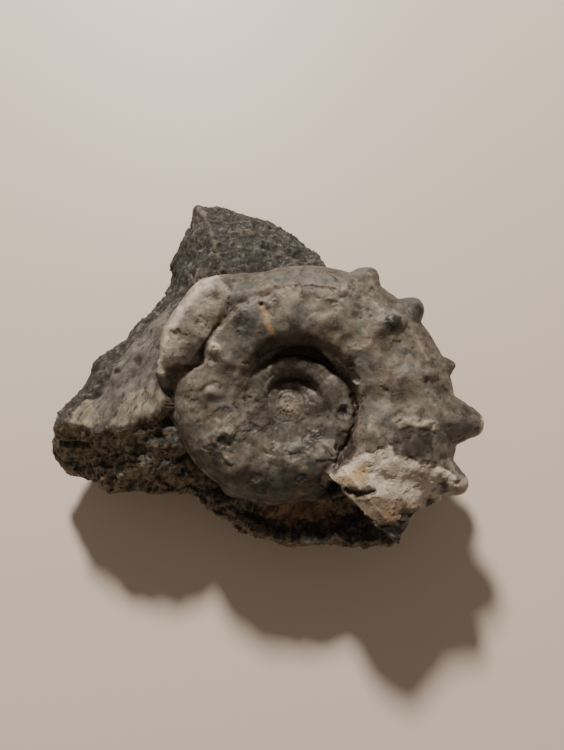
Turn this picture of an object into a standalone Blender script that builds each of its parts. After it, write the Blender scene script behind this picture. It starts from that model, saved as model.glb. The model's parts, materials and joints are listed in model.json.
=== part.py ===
"""A spiny fossil ammonite, half free of the dark wedge of rock that it lies in.

Metres, +Z up. The origin is the middle of the small flat that the rock rests on, straight
below the middle of the coil. The shell is built in its own plane, which leans towards -Y:
p runs right, q runs up the coil and w stands out of its face.
"""

import math

import bmesh
import bpy
from mathutils import Euler, Matrix, Vector

MM = 0.001

# Where the shell lies
COIL_HEIGHT = 17.0  # mm, middle of the coil above the surface
COIL_LEAN = 12.3  # degrees, towards -Y

# The coil, in mm. A turn is counted from the right-hand side (+p), growing clockwise.
VENTER_RADIUS = 28.4  # coil middle to outer edge, at turn 0
SEAM_RADIUS = 10.7  # coil middle to the seam with the turn inside
HALF_WIDTH = 8.7
TURN_GROWTH = 2.05  # radius gained in one turn
WIDTH_GROWTH = 1.7
FIRST_TURN = -4.3
LAST_TURN = 0.139  # where the outer end of the last turn is broken off
END_SKEW = 0.036  # turns that the break runs on at the seam
OUTER_SQUARENESS = 2.3  # exponent of the section towards the outer edge
INNER_SQUARENESS = 2.9
FLANK_BIAS = 1.15  # moves the fullest part of the section inwards
PROFILE_POINTS = 26
BREAK_SEAM_TURN = 0.122  # shell peeled off the flank from here to the end
BREAK_SLOPE = 0.058
BREAK_DROP = 0.07  # share of the half width lost there

# Blunt spines on the shoulders of the last turn: angle in degrees, then mm
SPINES = (
    # angle, reach, height over the middle plane, base radius, tip radius
    (58.0, 26.9, 3.4, 5.0, 1.5),
    (37.4, 27.9, 3.8, 4.4, 1.6),
    (13.4, 28.5, 3.8, 4.0, 1.0),
    (-6.2, 32.4, 4.0, 4.6, 1.7),
    (-25.4, 32.2, 5.0, 4.2, 1.5),
)
SPINE_OUTLINE = (
    # share of its length, shares of the base radius and of the tip radius
    (0.0, 1.25, 0.0),
    (0.45, 1.0, 0.0),
    (0.66, 0.74, 0.0),
    (0.84, 0.26, 0.70),
    (0.95, 0.0, 0.95),
    (1.0, 0.0, 0.40),
)
SPINE_ROOT = 9.5  # mm, how far a spine's axis is sunk into the turn
SPINE_RISE = 0.55  # share of its height at which a spine's axis starts
FAR_SPINE_LOSS = 0.8  # mm that the spines of the hidden side are shorter

# Low knobs on the flanks: angle in degrees, distance from the middle and size in mm
KNOBS = (
    (38.2, 21.0, 1.7),
    (12.6, 22.0, 1.6),
    (-6.0, 21.2, 1.9),
    (63.0, 19.4, 1.7),
    (88.0, 18.0, 1.6),
    (114.0, 16.2, 1.5),
    (144.0, 14.9, 1.4),
    (171.0, 12.8, 1.5),
    (206.0, 12.4, 1.3),
    (232.0, 11.4, 1.2),
)
KNOB_LIFT = 0.81  # share of the half width at which a knob's middle stands
KNOB_SHAPE = (1.6, 1.25, 0.75)  # a knob's size outwards, along the turn and up
HEART_RADIUS = 1.3  # mm, the first chamber at the coil's middle

# Corner lost from the outer end, seen along w: p and q in mm
CHIP = ((17.9, -21.2), (20.2, -17.6), (25.9, -16.0), (34, -13.6), (36, -30), (15, -30))

# The pale wall of thick shell that hugs the coil: p, q, w and radius in mm
RIDGE = (
    (-20.4, 3.4, 2.2, 1.8),
    (-19.2, 6.6, 3.0, 2.6),
    (-17.9, 10.0, 3.8, 3.2),
    (-16.3, 13.2, 4.1, 3.5),
    (-14.1, 16.2, 4.2, 3.5),
    (-11.6, 18.5, 4.1, 3.1),
    (-8.2, 19.9, 3.9, 2.1),
    (-4.8, 21.0, 3.6, 1.4),
    (-1.6, 21.6, 3.3, 1.0),
)
# The shelf between the wall and the flank, in the same way
SHELF = (
    (-17.7, 5.9, 4.0, 1.9),
    (-16.8, 8.9, 4.4, 2.7),
    (-14.8, 11.9, 4.5, 2.9),
    (-12.4, 14.4, 4.5, 2.9),
    (-9.6, 16.5, 4.4, 2.7),
    (-6.6, 18.1, 4.2, 2.3),
    (-3.8, 19.3, 3.9, 1.7),
)

# Corners of the rock's blocks, in mm from the origin
BED = (
    (-17, -9, -3), (-7, -12, -3), (7, -12, -3), (14, -5, -3),
    (13, 8, -3), (3, 13, -3), (-10, 12, -3), (-17, 5, -3),
    (-19, -14.6, 11), (-8.6, -21.4, 12), (-0.5, -24.0, 13.2), (9.4, -24, 12.4),
    (17.9, -24, 11), (18.7, -21.5, 12), (18.4, -21.5, 7.5), (-2, -20.5, 6.5),
    (19, -8, 12), (17, 8, 16), (13, 20, 18.5), (5.7, 25.8, 18.5),
    (-21, -4, 14), (-22, 12, 16), (-12, 22, 19),
)
WING = (
    (-40.3, -3.7, 17.4), (-39.6, -1.8, 16.4), (-43.4, -7.4, 8.4), (-42.4, -4.2, 7.4),
    (-35.4, -4.4, 19.2), (-26.4, -4.4, 20.8), (-19.8, -3.8, 21.0),
    (-39.4, -11.4, 9.4), (-29.8, -15.0, 13.8), (-24.0, -15.4, 13.2), (-17.4, -15.4, 12.4),
    (-36.4, 4.6, 12.2), (-31.7, 12.6, 11.4), (-23.5, 22.2, 12.2),
    (-19.4, 2.0, 20.8), (-19.6, 9.5, 21.4), (-16.5, 18.0, 20.8),
    (-17, -8, -3), (-20, -3, -1), (-19, 5, -1), (-10, -8, -3), (-10, 8, -3),
)
HORN = (
    (-18.1, 39.4, 13.8), (-14.0, 39.5, 14.2), (-16.6, 37.4, 17.2),
    (-13.8, 26.8, 21.2), (-11.6, 22.6, 22.4), (-20.5, 32.4, 12.6), (-23.7, 22.4, 12.2),
    (-9.2, 38.4, 12.0), (-4.6, 38.4, 11.2), (-0.9, 36.4, 11.6), (3.2, 32.9, 12.2),
    (7.0, 26.2, 18.2), (2.0, 22.6, 21.2), (-17.2, 16.0, 20.4),
    (-16, 8, -2), (-6, 13, -3), (6, 11, -3), (-18, 28, 6.5), (-14, 33, 7.5), (-3, 32, 6.5),
)
# Hollow left by the lost end of the outer turn, in mm from the coil's middle
MOULD_RADIUS = 19.6
MOULD_WIDENING = 2.0  # what its radius gains along its length
MOULD_TUBES = (2.25, 3.0)  # its own thickness at the start and the end
MOULD_HEIGHT = 2.2
MOULD_ANGLES = (-126.0, -54.0)  # degrees
MOULD_STEPS = 16
# Hollows in the rock: middle, size (mm) and turn (degrees) of an egg-shaped cut
HOLLOWS = (
    ((-42.6, -6.6, 14.2), (10.0, 4.0, 2.4), (0.0, 12.0, 24.0)),
    ((-18.9, -5.4, 20.6), (3.4, 8.0, 7.0), (0.0, 0.0, 24.0)),
    ((-21.0, 27.0, 19.4), (4.0, 12.0, 5.0), (0.0, 0.0, -20.0)),
)

SEAT_GAP = 0.65  # mm, the rock's seat stands this far off the shell
SEAT_OVERRUN = 0.006  # turns that the seat runs on for each mm of gap
FINE_STEP = 0.026  # turns between the coil's sections
INNER_STEP = 0.042  # the same on the small inner turns
INNER_TURNS = -1.3  # where those begin
FLOOR_SIZE = 160  # mm
FLOOR_DEPTH = 20
SHELL_VOXEL = 0.36
SEAT_VOXEL = 0.9
ROCK_VOXEL = 0.75
SHELL_FACES = 5400
SEAT_FACES = 2200
ROCK_FACES = 3400


def remove_everything():
    for obj in list(bpy.data.objects):
        bpy.data.objects.remove(obj, do_unlink=True)


def new_collection(name):
    collection = bpy.data.collections.new(name)
    bpy.context.scene.collection.children.link(collection)
    return collection


def stone_material(name, colour, roughness):
    material = bpy.data.materials.new(name)
    material.use_nodes = True
    shader = material.node_tree.nodes["Principled BSDF"]
    shader.inputs["Base Color"].default_value = (*colour, 1.0)
    shader.inputs["Roughness"].default_value = roughness
    shader.inputs["Metallic"].default_value = 0.0
    return material


def object_from(bm, name, collection):
    """Closes a bmesh whose points are in millimetres and links it as an object in metres."""
    bmesh.ops.recalc_face_normals(bm, faces=bm.faces)
    bmesh.ops.scale(bm, vec=(MM, MM, MM), verts=bm.verts)
    mesh = bpy.data.meshes.new(name)
    bm.to_mesh(mesh)
    bm.free()
    obj = bpy.data.objects.new(name, mesh)
    collection.objects.link(obj)
    return obj


def loft(bm, rings):
    """Skins a row of closed rings of points and caps both ends."""
    loops = [[bm.verts.new(point) for point in ring] for ring in rings]
    for near, far in zip(loops, loops[1:]):
        for i in range(len(near)):
            j = (i + 1) % len(near)
            bm.faces.new((near[i], near[j], far[j], far[i]))
    bm.faces.new(reversed(loops[0]))
    bm.faces.new(loops[-1])


def smooth_step(low, high, value):
    share = min(1.0, max(0.0, (value - low) / (high - low)))
    return share * share * (3 - 2 * share)


def polar(radius, degrees, height):
    angle = math.radians(degrees)
    return Vector((radius * math.cos(angle), radius * math.sin(angle), height))


def venter_radius(turn):
    return VENTER_RADIUS * TURN_GROWTH**turn


def seam_radius(turn):
    return SEAM_RADIUS * TURN_GROWTH**turn


def half_width(turn):
    return HALF_WIDTH * WIDTH_GROWTH**turn


def whorl_point(turn, around, grow):
    """A point on the turn's section: around is 0 at the outer edge and pi at the seam."""
    across, up = math.cos(around), math.sin(around)
    power = 2.0 / (OUTER_SQUARENESS if across > 0 else INNER_SQUARENESS)
    across = 0.5 + 0.5 * math.copysign(abs(across) ** power, across)
    across = across**FLANK_BIAS
    up = math.copysign(abs(up) ** power, up)
    skew = END_SKEW * smooth_step(-0.05, LAST_TURN, turn) * (1 - across)
    peeled = smooth_step(-0.012, 0.012, turn + skew - BREAK_SEAM_TURN + BREAK_SLOPE * across)
    seam, venter = seam_radius(turn), venter_radius(turn)
    radius = seam + across * (venter - seam) + grow * math.cos(around)
    height = half_width(turn) * up * (1 - BREAK_DROP * peeled * (up > 0)) + grow * up
    return polar(radius, -360 * (turn + skew), height)


def coil_turns(grow):
    """The turns at which sections stand: finer where the coil is large."""
    turns, turn = [], FIRST_TURN
    last = LAST_TURN + grow * SEAT_OVERRUN
    while turn < last:
        turns.append(turn)
        turn += FINE_STEP if turn > INNER_TURNS else INNER_STEP
    return turns + [last]


def add_coil(bm, grow):
    rings = []
    for turn in coil_turns(grow):
        angles = [2 * math.pi * k / PROFILE_POINTS for k in range(PROFILE_POINTS)]
        rings.append([whorl_point(turn, angle, grow) for angle in angles])
    loft(bm, rings)


def add_horn(bm, root, tip, base_radius, tip_radius):
    """A blunt spine with a flared foot, from root to tip."""
    axis = tip - root
    turn = axis.to_track_quat("Z", "Y").to_matrix()
    length, sides = axis.length, 12
    rings = []
    for share, of_base, of_tip in SPINE_OUTLINE:
        radius = base_radius * of_base + tip_radius * of_tip
        spots = [2 * math.pi * k / sides for k in range(sides)]
        ring = [Vector((radius * math.cos(a), radius * math.sin(a), share * length)) for a in spots]
        rings.append([root + turn @ point for point in ring])
    loft(bm, rings)


def add_spines(bm, grow):
    """Each spine has its match on the hidden side of the shell, a little shorter."""
    for angle, reach, height, base, tip in SPINES:
        for side in (1, -1):
            out = reach if side > 0 else reach - FAR_SPINE_LOSS
            point = polar(out + grow, angle, side * height)
            root = polar(out - SPINE_ROOT, angle, side * height * SPINE_RISE)
            add_horn(bm, root, point, base + grow, tip + grow)


def add_knobs(bm, grow):
    """Low knobs on both flanks, and the round first chamber."""
    spots = [(0.0, 0.0, 0.0, HEART_RADIUS)]
    for angle, radius, size in KNOBS:
        height = KNOB_LIFT * half_width(-angle / 360)
        spots += [(angle, radius, height, size), (angle, radius, -height, size)]
    for angle, radius, height, size in spots:
        size += grow
        place = Matrix.Translation(polar(radius, angle, height))
        place @= Matrix.Rotation(math.radians(angle), 4, "Z")
        place @= Matrix.Diagonal((*(size * share for share in KNOB_SHAPE), 1))
        bmesh.ops.create_icosphere(bm, subdivisions=2, radius=1.0, matrix=place)


def along(path, steps):
    """A smooth row of points and radii through the path's own."""
    points = [path[0]] + list(path) + [path[-1]]
    made = []
    for a, b, c, d in zip(points, points[1:], points[2:], points[3:]):
        for k in range(steps):
            t = k / steps
            weights = (
                -t + 2 * t**2 - t**3,
                2 - 5 * t**2 + 3 * t**3,
                t + 4 * t**2 - 3 * t**3,
                -(t**2) + t**3,
            )
            rows = zip(a, b, c, d)
            made.append([0.5 * sum(w * v for w, v in zip(weights, row)) for row in rows])
    return made + [list(path[-1])]


def add_tube(bm, path, grow, sides=14):
    """A tube of changing thickness, with rounded ends, along rows of x, y, z and radius."""
    rows = along(path, 4)
    middles = [Vector(row[:3]) for row in rows]
    rings = []
    for i, row in enumerate(rows):
        ahead = middles[min(i + 1, len(rows) - 1)] - middles[max(i - 1, 0)]
        turn = ahead.to_track_quat("Z", "Y").to_matrix()
        radius = row[3] + grow
        spots = [2 * math.pi * k / sides for k in range(sides)]
        ring = [Vector((radius * math.cos(a), radius * math.sin(a), 0)) for a in spots]
        rings.append([middles[i] + turn @ point for point in ring])
        if i in (0, len(rows) - 1):
            end = [middles[i] + turn @ (p * 0.5) for p in ring]
            out = ahead.normalized() * radius * (0.6 if i else -0.6)
            end = [point + out for point in end]
            rings.insert(0 if i == 0 else len(rings), end)
    loft(bm, rings)


def coil_matrix():
    lean = Euler((math.radians(COIL_LEAN), 0, 0)).to_matrix().to_4x4()
    return Matrix.Translation((0, 0, COIL_HEIGHT * MM)) @ lean


def add_modifier(obj, kind, **settings):
    modifier = obj.modifiers.new(kind.title(), kind)
    for name, value in settings.items():
        setattr(modifier, name, value)
    return modifier


def triangle_count(obj):
    """How many triangles the object's modifiers make so far."""
    graph = bpy.context.evaluated_depsgraph_get()
    mesh = obj.evaluated_get(graph).to_mesh()
    count = sum(len(face.vertices) - 2 for face in mesh.polygons)
    obj.evaluated_get(graph).to_mesh_clear()
    return count


def fuse(obj, voxel, rounds):
    """Fuses overlapping shapes into one skin and softens the joints."""
    add_modifier(obj, "REMESH", mode="VOXEL", voxel_size=voxel * MM)
    add_modifier(obj, "SMOOTH", factor=0.5, iterations=rounds)


def thin(obj, faces):
    add_modifier(obj, "DECIMATE", ratio=min(1.0, faces / triangle_count(obj)))


def cut(obj, *cutters):
    for cutter in cutters:
        add_modifier(obj, "BOOLEAN", operation="DIFFERENCE", object=cutter, solver="EXACT")


def shell_form(name, collection, grow, voxel, rounds):
    """The whole shell, or with grow the slightly larger form that its seat is cut with."""
    bm = bmesh.new()
    add_coil(bm, grow)
    add_spines(bm, grow)
    add_knobs(bm, grow)
    add_tube(bm, RIDGE, grow)
    add_tube(bm, SHELF, grow)
    obj = object_from(bm, name, collection)
    obj.matrix_world = coil_matrix()
    fuse(obj, voxel, rounds)
    return obj


def as_cutter(obj):
    obj.hide_render = True
    obj.display_type = "WIRE"
    return obj


def chip_cutter(collection):
    """The corner that is missing from the shell's outer end, right through its width."""
    depth = 1.5 * HALF_WIDTH
    bm = bmesh.new()
    add_block(bm, [(p, q, w) for p, q in CHIP for w in (-depth, depth)])
    obj = object_from(bm, "chip_cutter", collection)
    obj.matrix_world = coil_matrix()
    return as_cutter(obj)


def hollow_cutter(name, collection, middle, size, turn):
    bm = bmesh.new()
    turned = Euler([math.radians(degrees) for degrees in turn]).to_matrix().to_4x4()
    place = Matrix.Translation(middle) @ turned @ Matrix.Diagonal((*size, 1))
    bmesh.ops.create_icosphere(bm, subdivisions=3, radius=0.5, matrix=place)
    return as_cutter(object_from(bm, name, collection))


def mould_cutter(collection):
    """The lost end of the outer turn, which left a hollow in the rock."""
    bm = bmesh.new()
    start, end = MOULD_ANGLES
    thin_end, thick_end = MOULD_TUBES
    path = []
    for k in range(MOULD_STEPS + 1):
        share = k / MOULD_STEPS
        angle = start + (end - start) * share
        point = polar(MOULD_RADIUS + MOULD_WIDENING * share, angle, MOULD_HEIGHT)
        path.append((*point, thin_end + (thick_end - thin_end) * share))
    add_tube(bm, path, 0.0, sides=12)
    obj = object_from(bm, "mould_cutter", collection)
    obj.matrix_world = coil_matrix()
    return as_cutter(obj)


def floor_cutter(collection):
    """Leaves the rock the flat that it rests on."""
    bm = bmesh.new()
    block = Matrix.Translation((0, 0, -FLOOR_DEPTH / 2))
    block @= Matrix.Diagonal((FLOOR_SIZE, FLOOR_SIZE, FLOOR_DEPTH, 1))
    bmesh.ops.create_cube(bm, size=1.0, matrix=block)
    return as_cutter(object_from(bm, "floor_cutter", collection))


def add_block(bm, corners):
    """The convex block of stone between these corners."""
    verts = [bm.verts.new(corner) for corner in corners]
    made = bmesh.ops.convex_hull(bm, input=verts)
    spare = {item for item in made["geom_interior"] if isinstance(item, bmesh.types.BMVert)}
    bmesh.ops.delete(bm, geom=list(spare), context="VERTS")


def roughen(obj, name, size, strength, kind):
    texture = bpy.data.textures.new(name, kind)
    texture.noise_scale = size * MM
    settings = {"texture": texture, "strength": strength * MM, "mid_level": 0.5}
    add_modifier(obj, "DISPLACE", texture_coords="GLOBAL", **settings)


def rock_form(collection, hollows, last_cuts):
    """The wedge of rock: a bed under the coil, a wing to the left and a horn behind."""
    bm = bmesh.new()
    for corners in (BED, WING, HORN):
        add_block(bm, corners)
    obj = object_from(bm, "matrix", collection)
    fuse(obj, ROCK_VOXEL, 1)
    cut(obj, *hollows)
    fuse(obj, ROCK_VOXEL, 1)
    roughen(obj, "broken_faces", 7.0, 1.5, "VORONOI")
    roughen(obj, "lumps", 4.0, 1.2, "CLOUDS")
    thin(obj, ROCK_FACES)
    cut(obj, *last_cuts)
    return obj


def build():
    remove_everything()
    stone = new_collection("ammonite_in_matrix")
    cutters = new_collection("cutters")

    shell = shell_form("ammonite", stone, 0.0, SHELL_VOXEL, 2)
    cut(shell, chip_cutter(cutters))
    roughen(shell, "weathering", 2.6, 0.4, "CLOUDS")
    thin(shell, SHELL_FACES)
    shell.data.materials.append(stone_material("shell_calcite", (0.20, 0.175, 0.15), 0.5))

    seat = as_cutter(shell_form("seat_cutter", cutters, SEAT_GAP, SEAT_VOXEL, 2))
    thin(seat, SEAT_FACES)
    hollows = [hollow_cutter(f"hollow_{n}", cutters, *facts) for n, facts in enumerate(HOLLOWS, 1)]
    hollows.append(mould_cutter(cutters))
    rock = rock_form(stone, hollows, (floor_cutter(cutters), seat))
    rock.data.materials.append(stone_material("dark_matrix", (0.045, 0.042, 0.038), 0.9))


build()
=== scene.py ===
# %% [markdown]
# # A spiny fossil ammonite, half free of its rock
#
# The real thing is two materials grown together: a coiled shell that has turned to calcite,
# and the wedge of dark mudstone that it was buried in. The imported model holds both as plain
# faceted solids. This lesson gives each of them its weathered surface: first a finer mesh,
# then relief that is worked out point by point, then a painted stone material.
#
# Lengths are millimetres until a mesh is finished, and metres after that.

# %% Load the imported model
import itertools
import json
import math

import bmesh
import bpy
import numpy as np
from mathutils import Matrix, Vector
from mathutils.bvhtree import BVHTree

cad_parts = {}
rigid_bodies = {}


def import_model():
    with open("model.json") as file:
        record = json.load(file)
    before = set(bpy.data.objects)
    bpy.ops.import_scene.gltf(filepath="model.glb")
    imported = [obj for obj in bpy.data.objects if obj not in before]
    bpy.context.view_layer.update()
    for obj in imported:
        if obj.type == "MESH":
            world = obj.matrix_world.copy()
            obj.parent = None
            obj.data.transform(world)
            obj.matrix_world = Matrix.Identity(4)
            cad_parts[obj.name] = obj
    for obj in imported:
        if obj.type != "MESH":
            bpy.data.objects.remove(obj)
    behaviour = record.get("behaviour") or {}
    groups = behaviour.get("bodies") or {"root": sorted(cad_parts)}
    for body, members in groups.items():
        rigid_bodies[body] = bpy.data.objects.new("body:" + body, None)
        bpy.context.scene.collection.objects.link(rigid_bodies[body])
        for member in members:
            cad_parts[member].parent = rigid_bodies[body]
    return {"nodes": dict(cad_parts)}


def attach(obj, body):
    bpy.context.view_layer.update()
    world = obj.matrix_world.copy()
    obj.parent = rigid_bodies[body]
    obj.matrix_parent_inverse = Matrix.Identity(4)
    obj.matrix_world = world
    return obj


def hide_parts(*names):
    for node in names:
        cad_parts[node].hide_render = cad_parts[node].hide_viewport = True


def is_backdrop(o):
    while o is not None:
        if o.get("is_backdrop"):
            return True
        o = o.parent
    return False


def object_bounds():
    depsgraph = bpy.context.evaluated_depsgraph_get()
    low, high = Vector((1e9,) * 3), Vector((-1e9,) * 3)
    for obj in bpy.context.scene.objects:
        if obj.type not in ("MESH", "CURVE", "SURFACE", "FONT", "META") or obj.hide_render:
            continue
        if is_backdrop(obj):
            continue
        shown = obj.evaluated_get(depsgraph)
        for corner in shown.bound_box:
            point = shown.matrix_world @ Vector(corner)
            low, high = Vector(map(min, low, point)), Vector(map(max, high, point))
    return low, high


for leftover in list(bpy.data.objects):
    bpy.data.objects.remove(leftover, do_unlink=True)
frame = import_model()
CAD_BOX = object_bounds()
MM = 0.001
print("nodes:", ", ".join(sorted(frame["nodes"])))

# %% [markdown]
# ## Camera
#
# The specimen lies on a table and is looked at from nearly overhead, from about a hand's
# width away. A short lens that close makes the shell look large against the rock under it,
# so the lens and the distance both have to be right. The camera could be aimed with a
# constraint, but a place and a tilt are shorter and stay put.

# %% Place the camera
CAMERA_PLACE = (-1.2, -22.3, 119.7)  # mm
CAMERA_TILT = 15.0  # degrees off straight down, towards +Y
LENS = 29.18  # mm, on a sensor 36 mm along the picture's long side


def add_camera():
    data = bpy.data.cameras.new("camera")
    data.lens = LENS
    data.sensor_width = 36.0
    data.clip_start = 0.005
    camera = bpy.data.objects.new("camera", data)
    camera.location = Vector(CAMERA_PLACE) * MM
    camera.rotation_euler = (math.radians(CAMERA_TILT), 0, 0)
    bpy.context.scene.collection.objects.link(camera)
    bpy.context.scene.camera = camera
    return camera


camera = add_camera()
print("camera at", tuple(round(value, 4) for value in camera.location))

# %% [markdown]
# ## Table and light
#
# One lamp stands behind the specimen and a little to the left, about as high as the hand
# that would hold it. It is wide enough to give the shadow a soft edge. Light from a pale
# room fills the shadow. A sun lamp would do for the shadow, but a lamp at a real distance
# also makes the far side of the table brighter.

# %% Floor, lamp and fill
LAMP_TOWARDS = Vector((-0.26, 1.34, 1.0))
LAMP_DISTANCE = 700  # mm
LAMP_DIAMETER = 80  # mm
LAMP_WATTS = 8.6
LAMP_COLOUR = (1.0, 0.87, 0.76)
FILL = (1.0, 0.78, 0.60)
FILL_STRENGTH = 0.20
FLOOR_COLOUR = (0.72, 0.655, 0.59)
FLOOR_SIZE = 3000  # mm


def link(obj):
    bpy.context.scene.collection.objects.link(obj)
    return obj


def add_floor():
    bm = bmesh.new()
    bmesh.ops.create_grid(bm, x_segments=1, y_segments=1, size=FLOOR_SIZE / 2 * MM)
    mesh = bpy.data.meshes.new("floor")
    bm.to_mesh(mesh)
    bm.free()
    floor = link(bpy.data.objects.new("floor", mesh))
    material = bpy.data.materials.new("pale_table")
    material.use_nodes = True
    shader = material.node_tree.nodes["Principled BSDF"]
    shader.inputs["Base Color"].default_value = (*FLOOR_COLOUR, 1)
    shader.inputs["Roughness"].default_value = 0.55
    mesh.materials.append(material)
    return floor


def add_lamp():
    data = bpy.data.lights.new("lamp", "AREA")
    data.shape = "DISK"
    data.size = LAMP_DIAMETER * MM
    data.energy = LAMP_WATTS
    data.color = LAMP_COLOUR
    lamp = link(bpy.data.objects.new("lamp", data))
    direction = LAMP_TOWARDS.normalized()
    lamp.location = direction * LAMP_DISTANCE * MM
    lamp.rotation_euler = direction.to_track_quat("Z", "Y").to_euler()
    return lamp


def add_fill():
    world = bpy.data.worlds.new("pale_room")
    world.use_nodes = True
    background = world.node_tree.nodes["Background"]
    background.inputs["Color"].default_value = (*FILL, 1)
    background.inputs["Strength"].default_value = FILL_STRENGTH
    bpy.context.scene.world = world


floor = add_floor()
floor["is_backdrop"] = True
lamp = add_lamp()
add_fill()
print("lamp", LAMP_DISTANCE, "mm away,", LAMP_DIAMETER, "mm wide")

# %% [markdown]
# ## Tools for stone
#
# Weathered stone is made of the same few marks at many sizes: lumps, pits, cracks and worn
# patches. Sculpting them by hand gives a result that can't be repeated, and a displacement
# modifier puts the same mark everywhere. Here each mark is a short function that gives one
# number for every point of a mesh, so marks can be placed, mixed and limited to a region.

# %% Smooth noise for whole meshes at once
CORNERS = list(itertools.product((0, 1), repeat=3))
SLOPES = np.random.default_rng(7).normal(size=(256, 3))
SLOPES /= np.linalg.norm(SLOPES, axis=1)[:, None]


def scramble(cells, seed):
    """A repeatable number from 0 to 255 for each lattice cell."""
    mixed = (cells * np.array((73856093, 19349663, 83492791))).sum(axis=1) + seed * 9176743
    mixed = (mixed ^ (mixed >> 13)) * 1274126177
    return (mixed ^ (mixed >> 16)) & 255


def lumps(points, size, seed=0):
    """Smooth lumps and dips, about -0.7 to 0.7, that many millimetres across."""
    spots = points / size + seed * 11.37
    cells = np.floor(spots).astype(np.int64)
    inside = spots - cells
    ease = inside**3 * (inside * (inside * 6 - 15) + 10)
    total = np.zeros(len(points))
    for corner in CORNERS:
        slope = SLOPES[scramble(cells + corner, seed)]
        weight = np.prod(np.where(corner, ease, 1 - ease), axis=1)
        total += weight * ((inside - corner) * slope).sum(axis=1)
    return total


def layered(points, size, layers=3, seed=0, fall=0.5):
    """Lumps with finer lumps on them: each layer is half the size of the last."""
    return sum(lumps(points, size / 2**n, seed + n) * fall**n for n in range(layers))


def chips(points, size, seed=0):
    """Broken facets: each cell of stone is a small plane with its own tilt, about -0.5 to 0.5."""
    cells = np.floor(points / size).astype(np.int64)
    nearest = np.full(len(points), np.inf)
    height = np.zeros(len(points))
    for step in itertools.product((-1, 0, 1), repeat=3):
        cell = cells + step
        jitter = SLOPES[scramble(cell, seed)] * 0.42 + 0.5
        away = points - (cell + jitter) * size
        distance = (away**2).sum(axis=1)
        tilt = SLOPES[scramble(cell, seed + 5)]
        closer = distance < nearest
        nearest = np.where(closer, distance, nearest)
        height = np.where(closer, (away * tilt).sum(axis=1) / size, height)
    return height


print("noise ready:", np.round(lumps(np.array([[1.0, 2.0, 3.0]]), 2.0), 3))

# %% Marks that are placed one by one


def fade(low, high, value):
    """0 up to low, 1 from high on, and a smooth step between."""
    share = np.clip((value - low) / (high - low), 0, 1)
    return share * share * (3 - 2 * share)


def mound(spots, middle, radii, turn=0.0):
    """A soft round hill, 1 at its middle; radii are where it has fallen to a third."""
    angle = math.radians(turn)
    offset = spots - np.array(middle)
    along = offset[:, 0] * math.cos(angle) + offset[:, 1] * math.sin(angle)
    across = offset[:, 1] * math.cos(angle) - offset[:, 0] * math.sin(angle)
    return np.exp(-((along / radii[0]) ** 2) - (across / radii[1]) ** 2)


def distance_to(spots, path, closed=False):
    """Distance from each spot to a line through the path's points."""
    ends = list(path) + [path[0]] if closed else list(path)
    nearest = np.full(len(spots), np.inf)
    for start, end in zip(np.array(ends[:-1], float), np.array(ends[1:], float)):
        run = end - start
        share = np.clip((spots - start) @ run / (run @ run), 0, 1)
        gap = np.linalg.norm(spots - start - share[:, None] * run, axis=1)
        nearest = np.minimum(nearest, gap)
    return nearest


def trail(spots, path, width):
    """1 along a line, fading over that width to each side."""
    return np.exp(-((distance_to(spots, path) / width) ** 2))


def patch(spots, outline, soft=0.4):
    """1 inside an outline and 0 outside, with an edge that is soft over that many mm."""
    inside = np.zeros(len(spots), bool)
    p, q = spots[:, 0], spots[:, 1]
    for (p1, q1), (p2, q2) in zip(outline, outline[1:] + outline[:1]):
        if q1 != q2:
            crossing = p1 + (q - q1) * (p2 - p1) / (q2 - q1)
            inside ^= ((q1 > q) != (q2 > q)) & (p < crossing)
    gap = distance_to(spots, outline, closed=True)
    return fade(-soft, soft, np.where(inside, gap, -gap))


def hills(spots, rows):
    """Mounds added up: each row is a height, a middle, radii and perhaps a lean."""
    return sum(height * mound(spots, *row) for height, *row in rows)


def lines(spots, rows):
    """Trails added up: each row is a height, a path and a width."""
    return sum(height * trail(spots, *row) for height, *row in rows)


def patches(spots, rows):
    """Patches added up: each row is a height, an outline and how soft its edge is."""
    return sum(height * patch(spots, *row) for height, *row in rows)


SQUARE = [(0, 0), (2, 0), (2, 2), (0, 2)]
print("a square patch, inside and outside:", patch(np.array([[1.0, 1.0], [4, 4]]), SQUARE))

# %% Mesh helpers


def object_from(bm, name):
    mesh = bpy.data.meshes.new(name)
    bm.to_mesh(mesh)
    bm.free()
    return link(bpy.data.objects.new(name, mesh))


def keep_modifier(obj, kind, **settings):
    """Adds a modifier and makes its result the object's own mesh."""
    modifier = obj.modifiers.new(kind.title(), kind)
    for name, value in settings.items():
        setattr(modifier, name, value)
    graph = bpy.context.evaluated_depsgraph_get()
    made = bpy.data.meshes.new_from_object(obj.evaluated_get(graph))
    spent, obj.data = obj.data, made
    obj.modifiers.clear()
    bpy.data.meshes.remove(spent)


def fuse(obj, voxel, rounds=1):
    """Fuses overlapping shapes into one skin of even squares and softens it a little."""
    keep_modifier(obj, "REMESH", mode="VOXEL", voxel_size=voxel)
    keep_modifier(obj, "SMOOTH", factor=0.5, iterations=rounds)


def read_points(obj, what="co"):
    flat = np.empty(len(obj.data.vertices) * 3, np.float32)
    obj.data.vertices.foreach_get(what, flat)
    return flat.reshape(-1, 3).astype(float)


def write_points(obj, points):
    obj.data.vertices.foreach_set("co", points.astype(np.float32).ravel())
    obj.data.update()


def softened(obj, spots, rounds, mask=1.0):
    """The spots, moved towards the middle of their neighbours where the mask is 1."""
    ends = np.empty(len(obj.data.edges) * 2, np.int32)
    obj.data.edges.foreach_get("vertices", ends)
    ends = ends.reshape(-1, 2)
    here, there = np.concatenate((ends, ends[:, ::-1])).T
    shared = np.bincount(here, minlength=len(spots))[:, None]
    soft = spots.copy()
    for _ in range(rounds):
        sums = [np.bincount(here, weights=axis[there], minlength=len(spots)) for axis in soft.T]
        soft += (np.column_stack(sums) / shared - soft) * mask
    return soft


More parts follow.
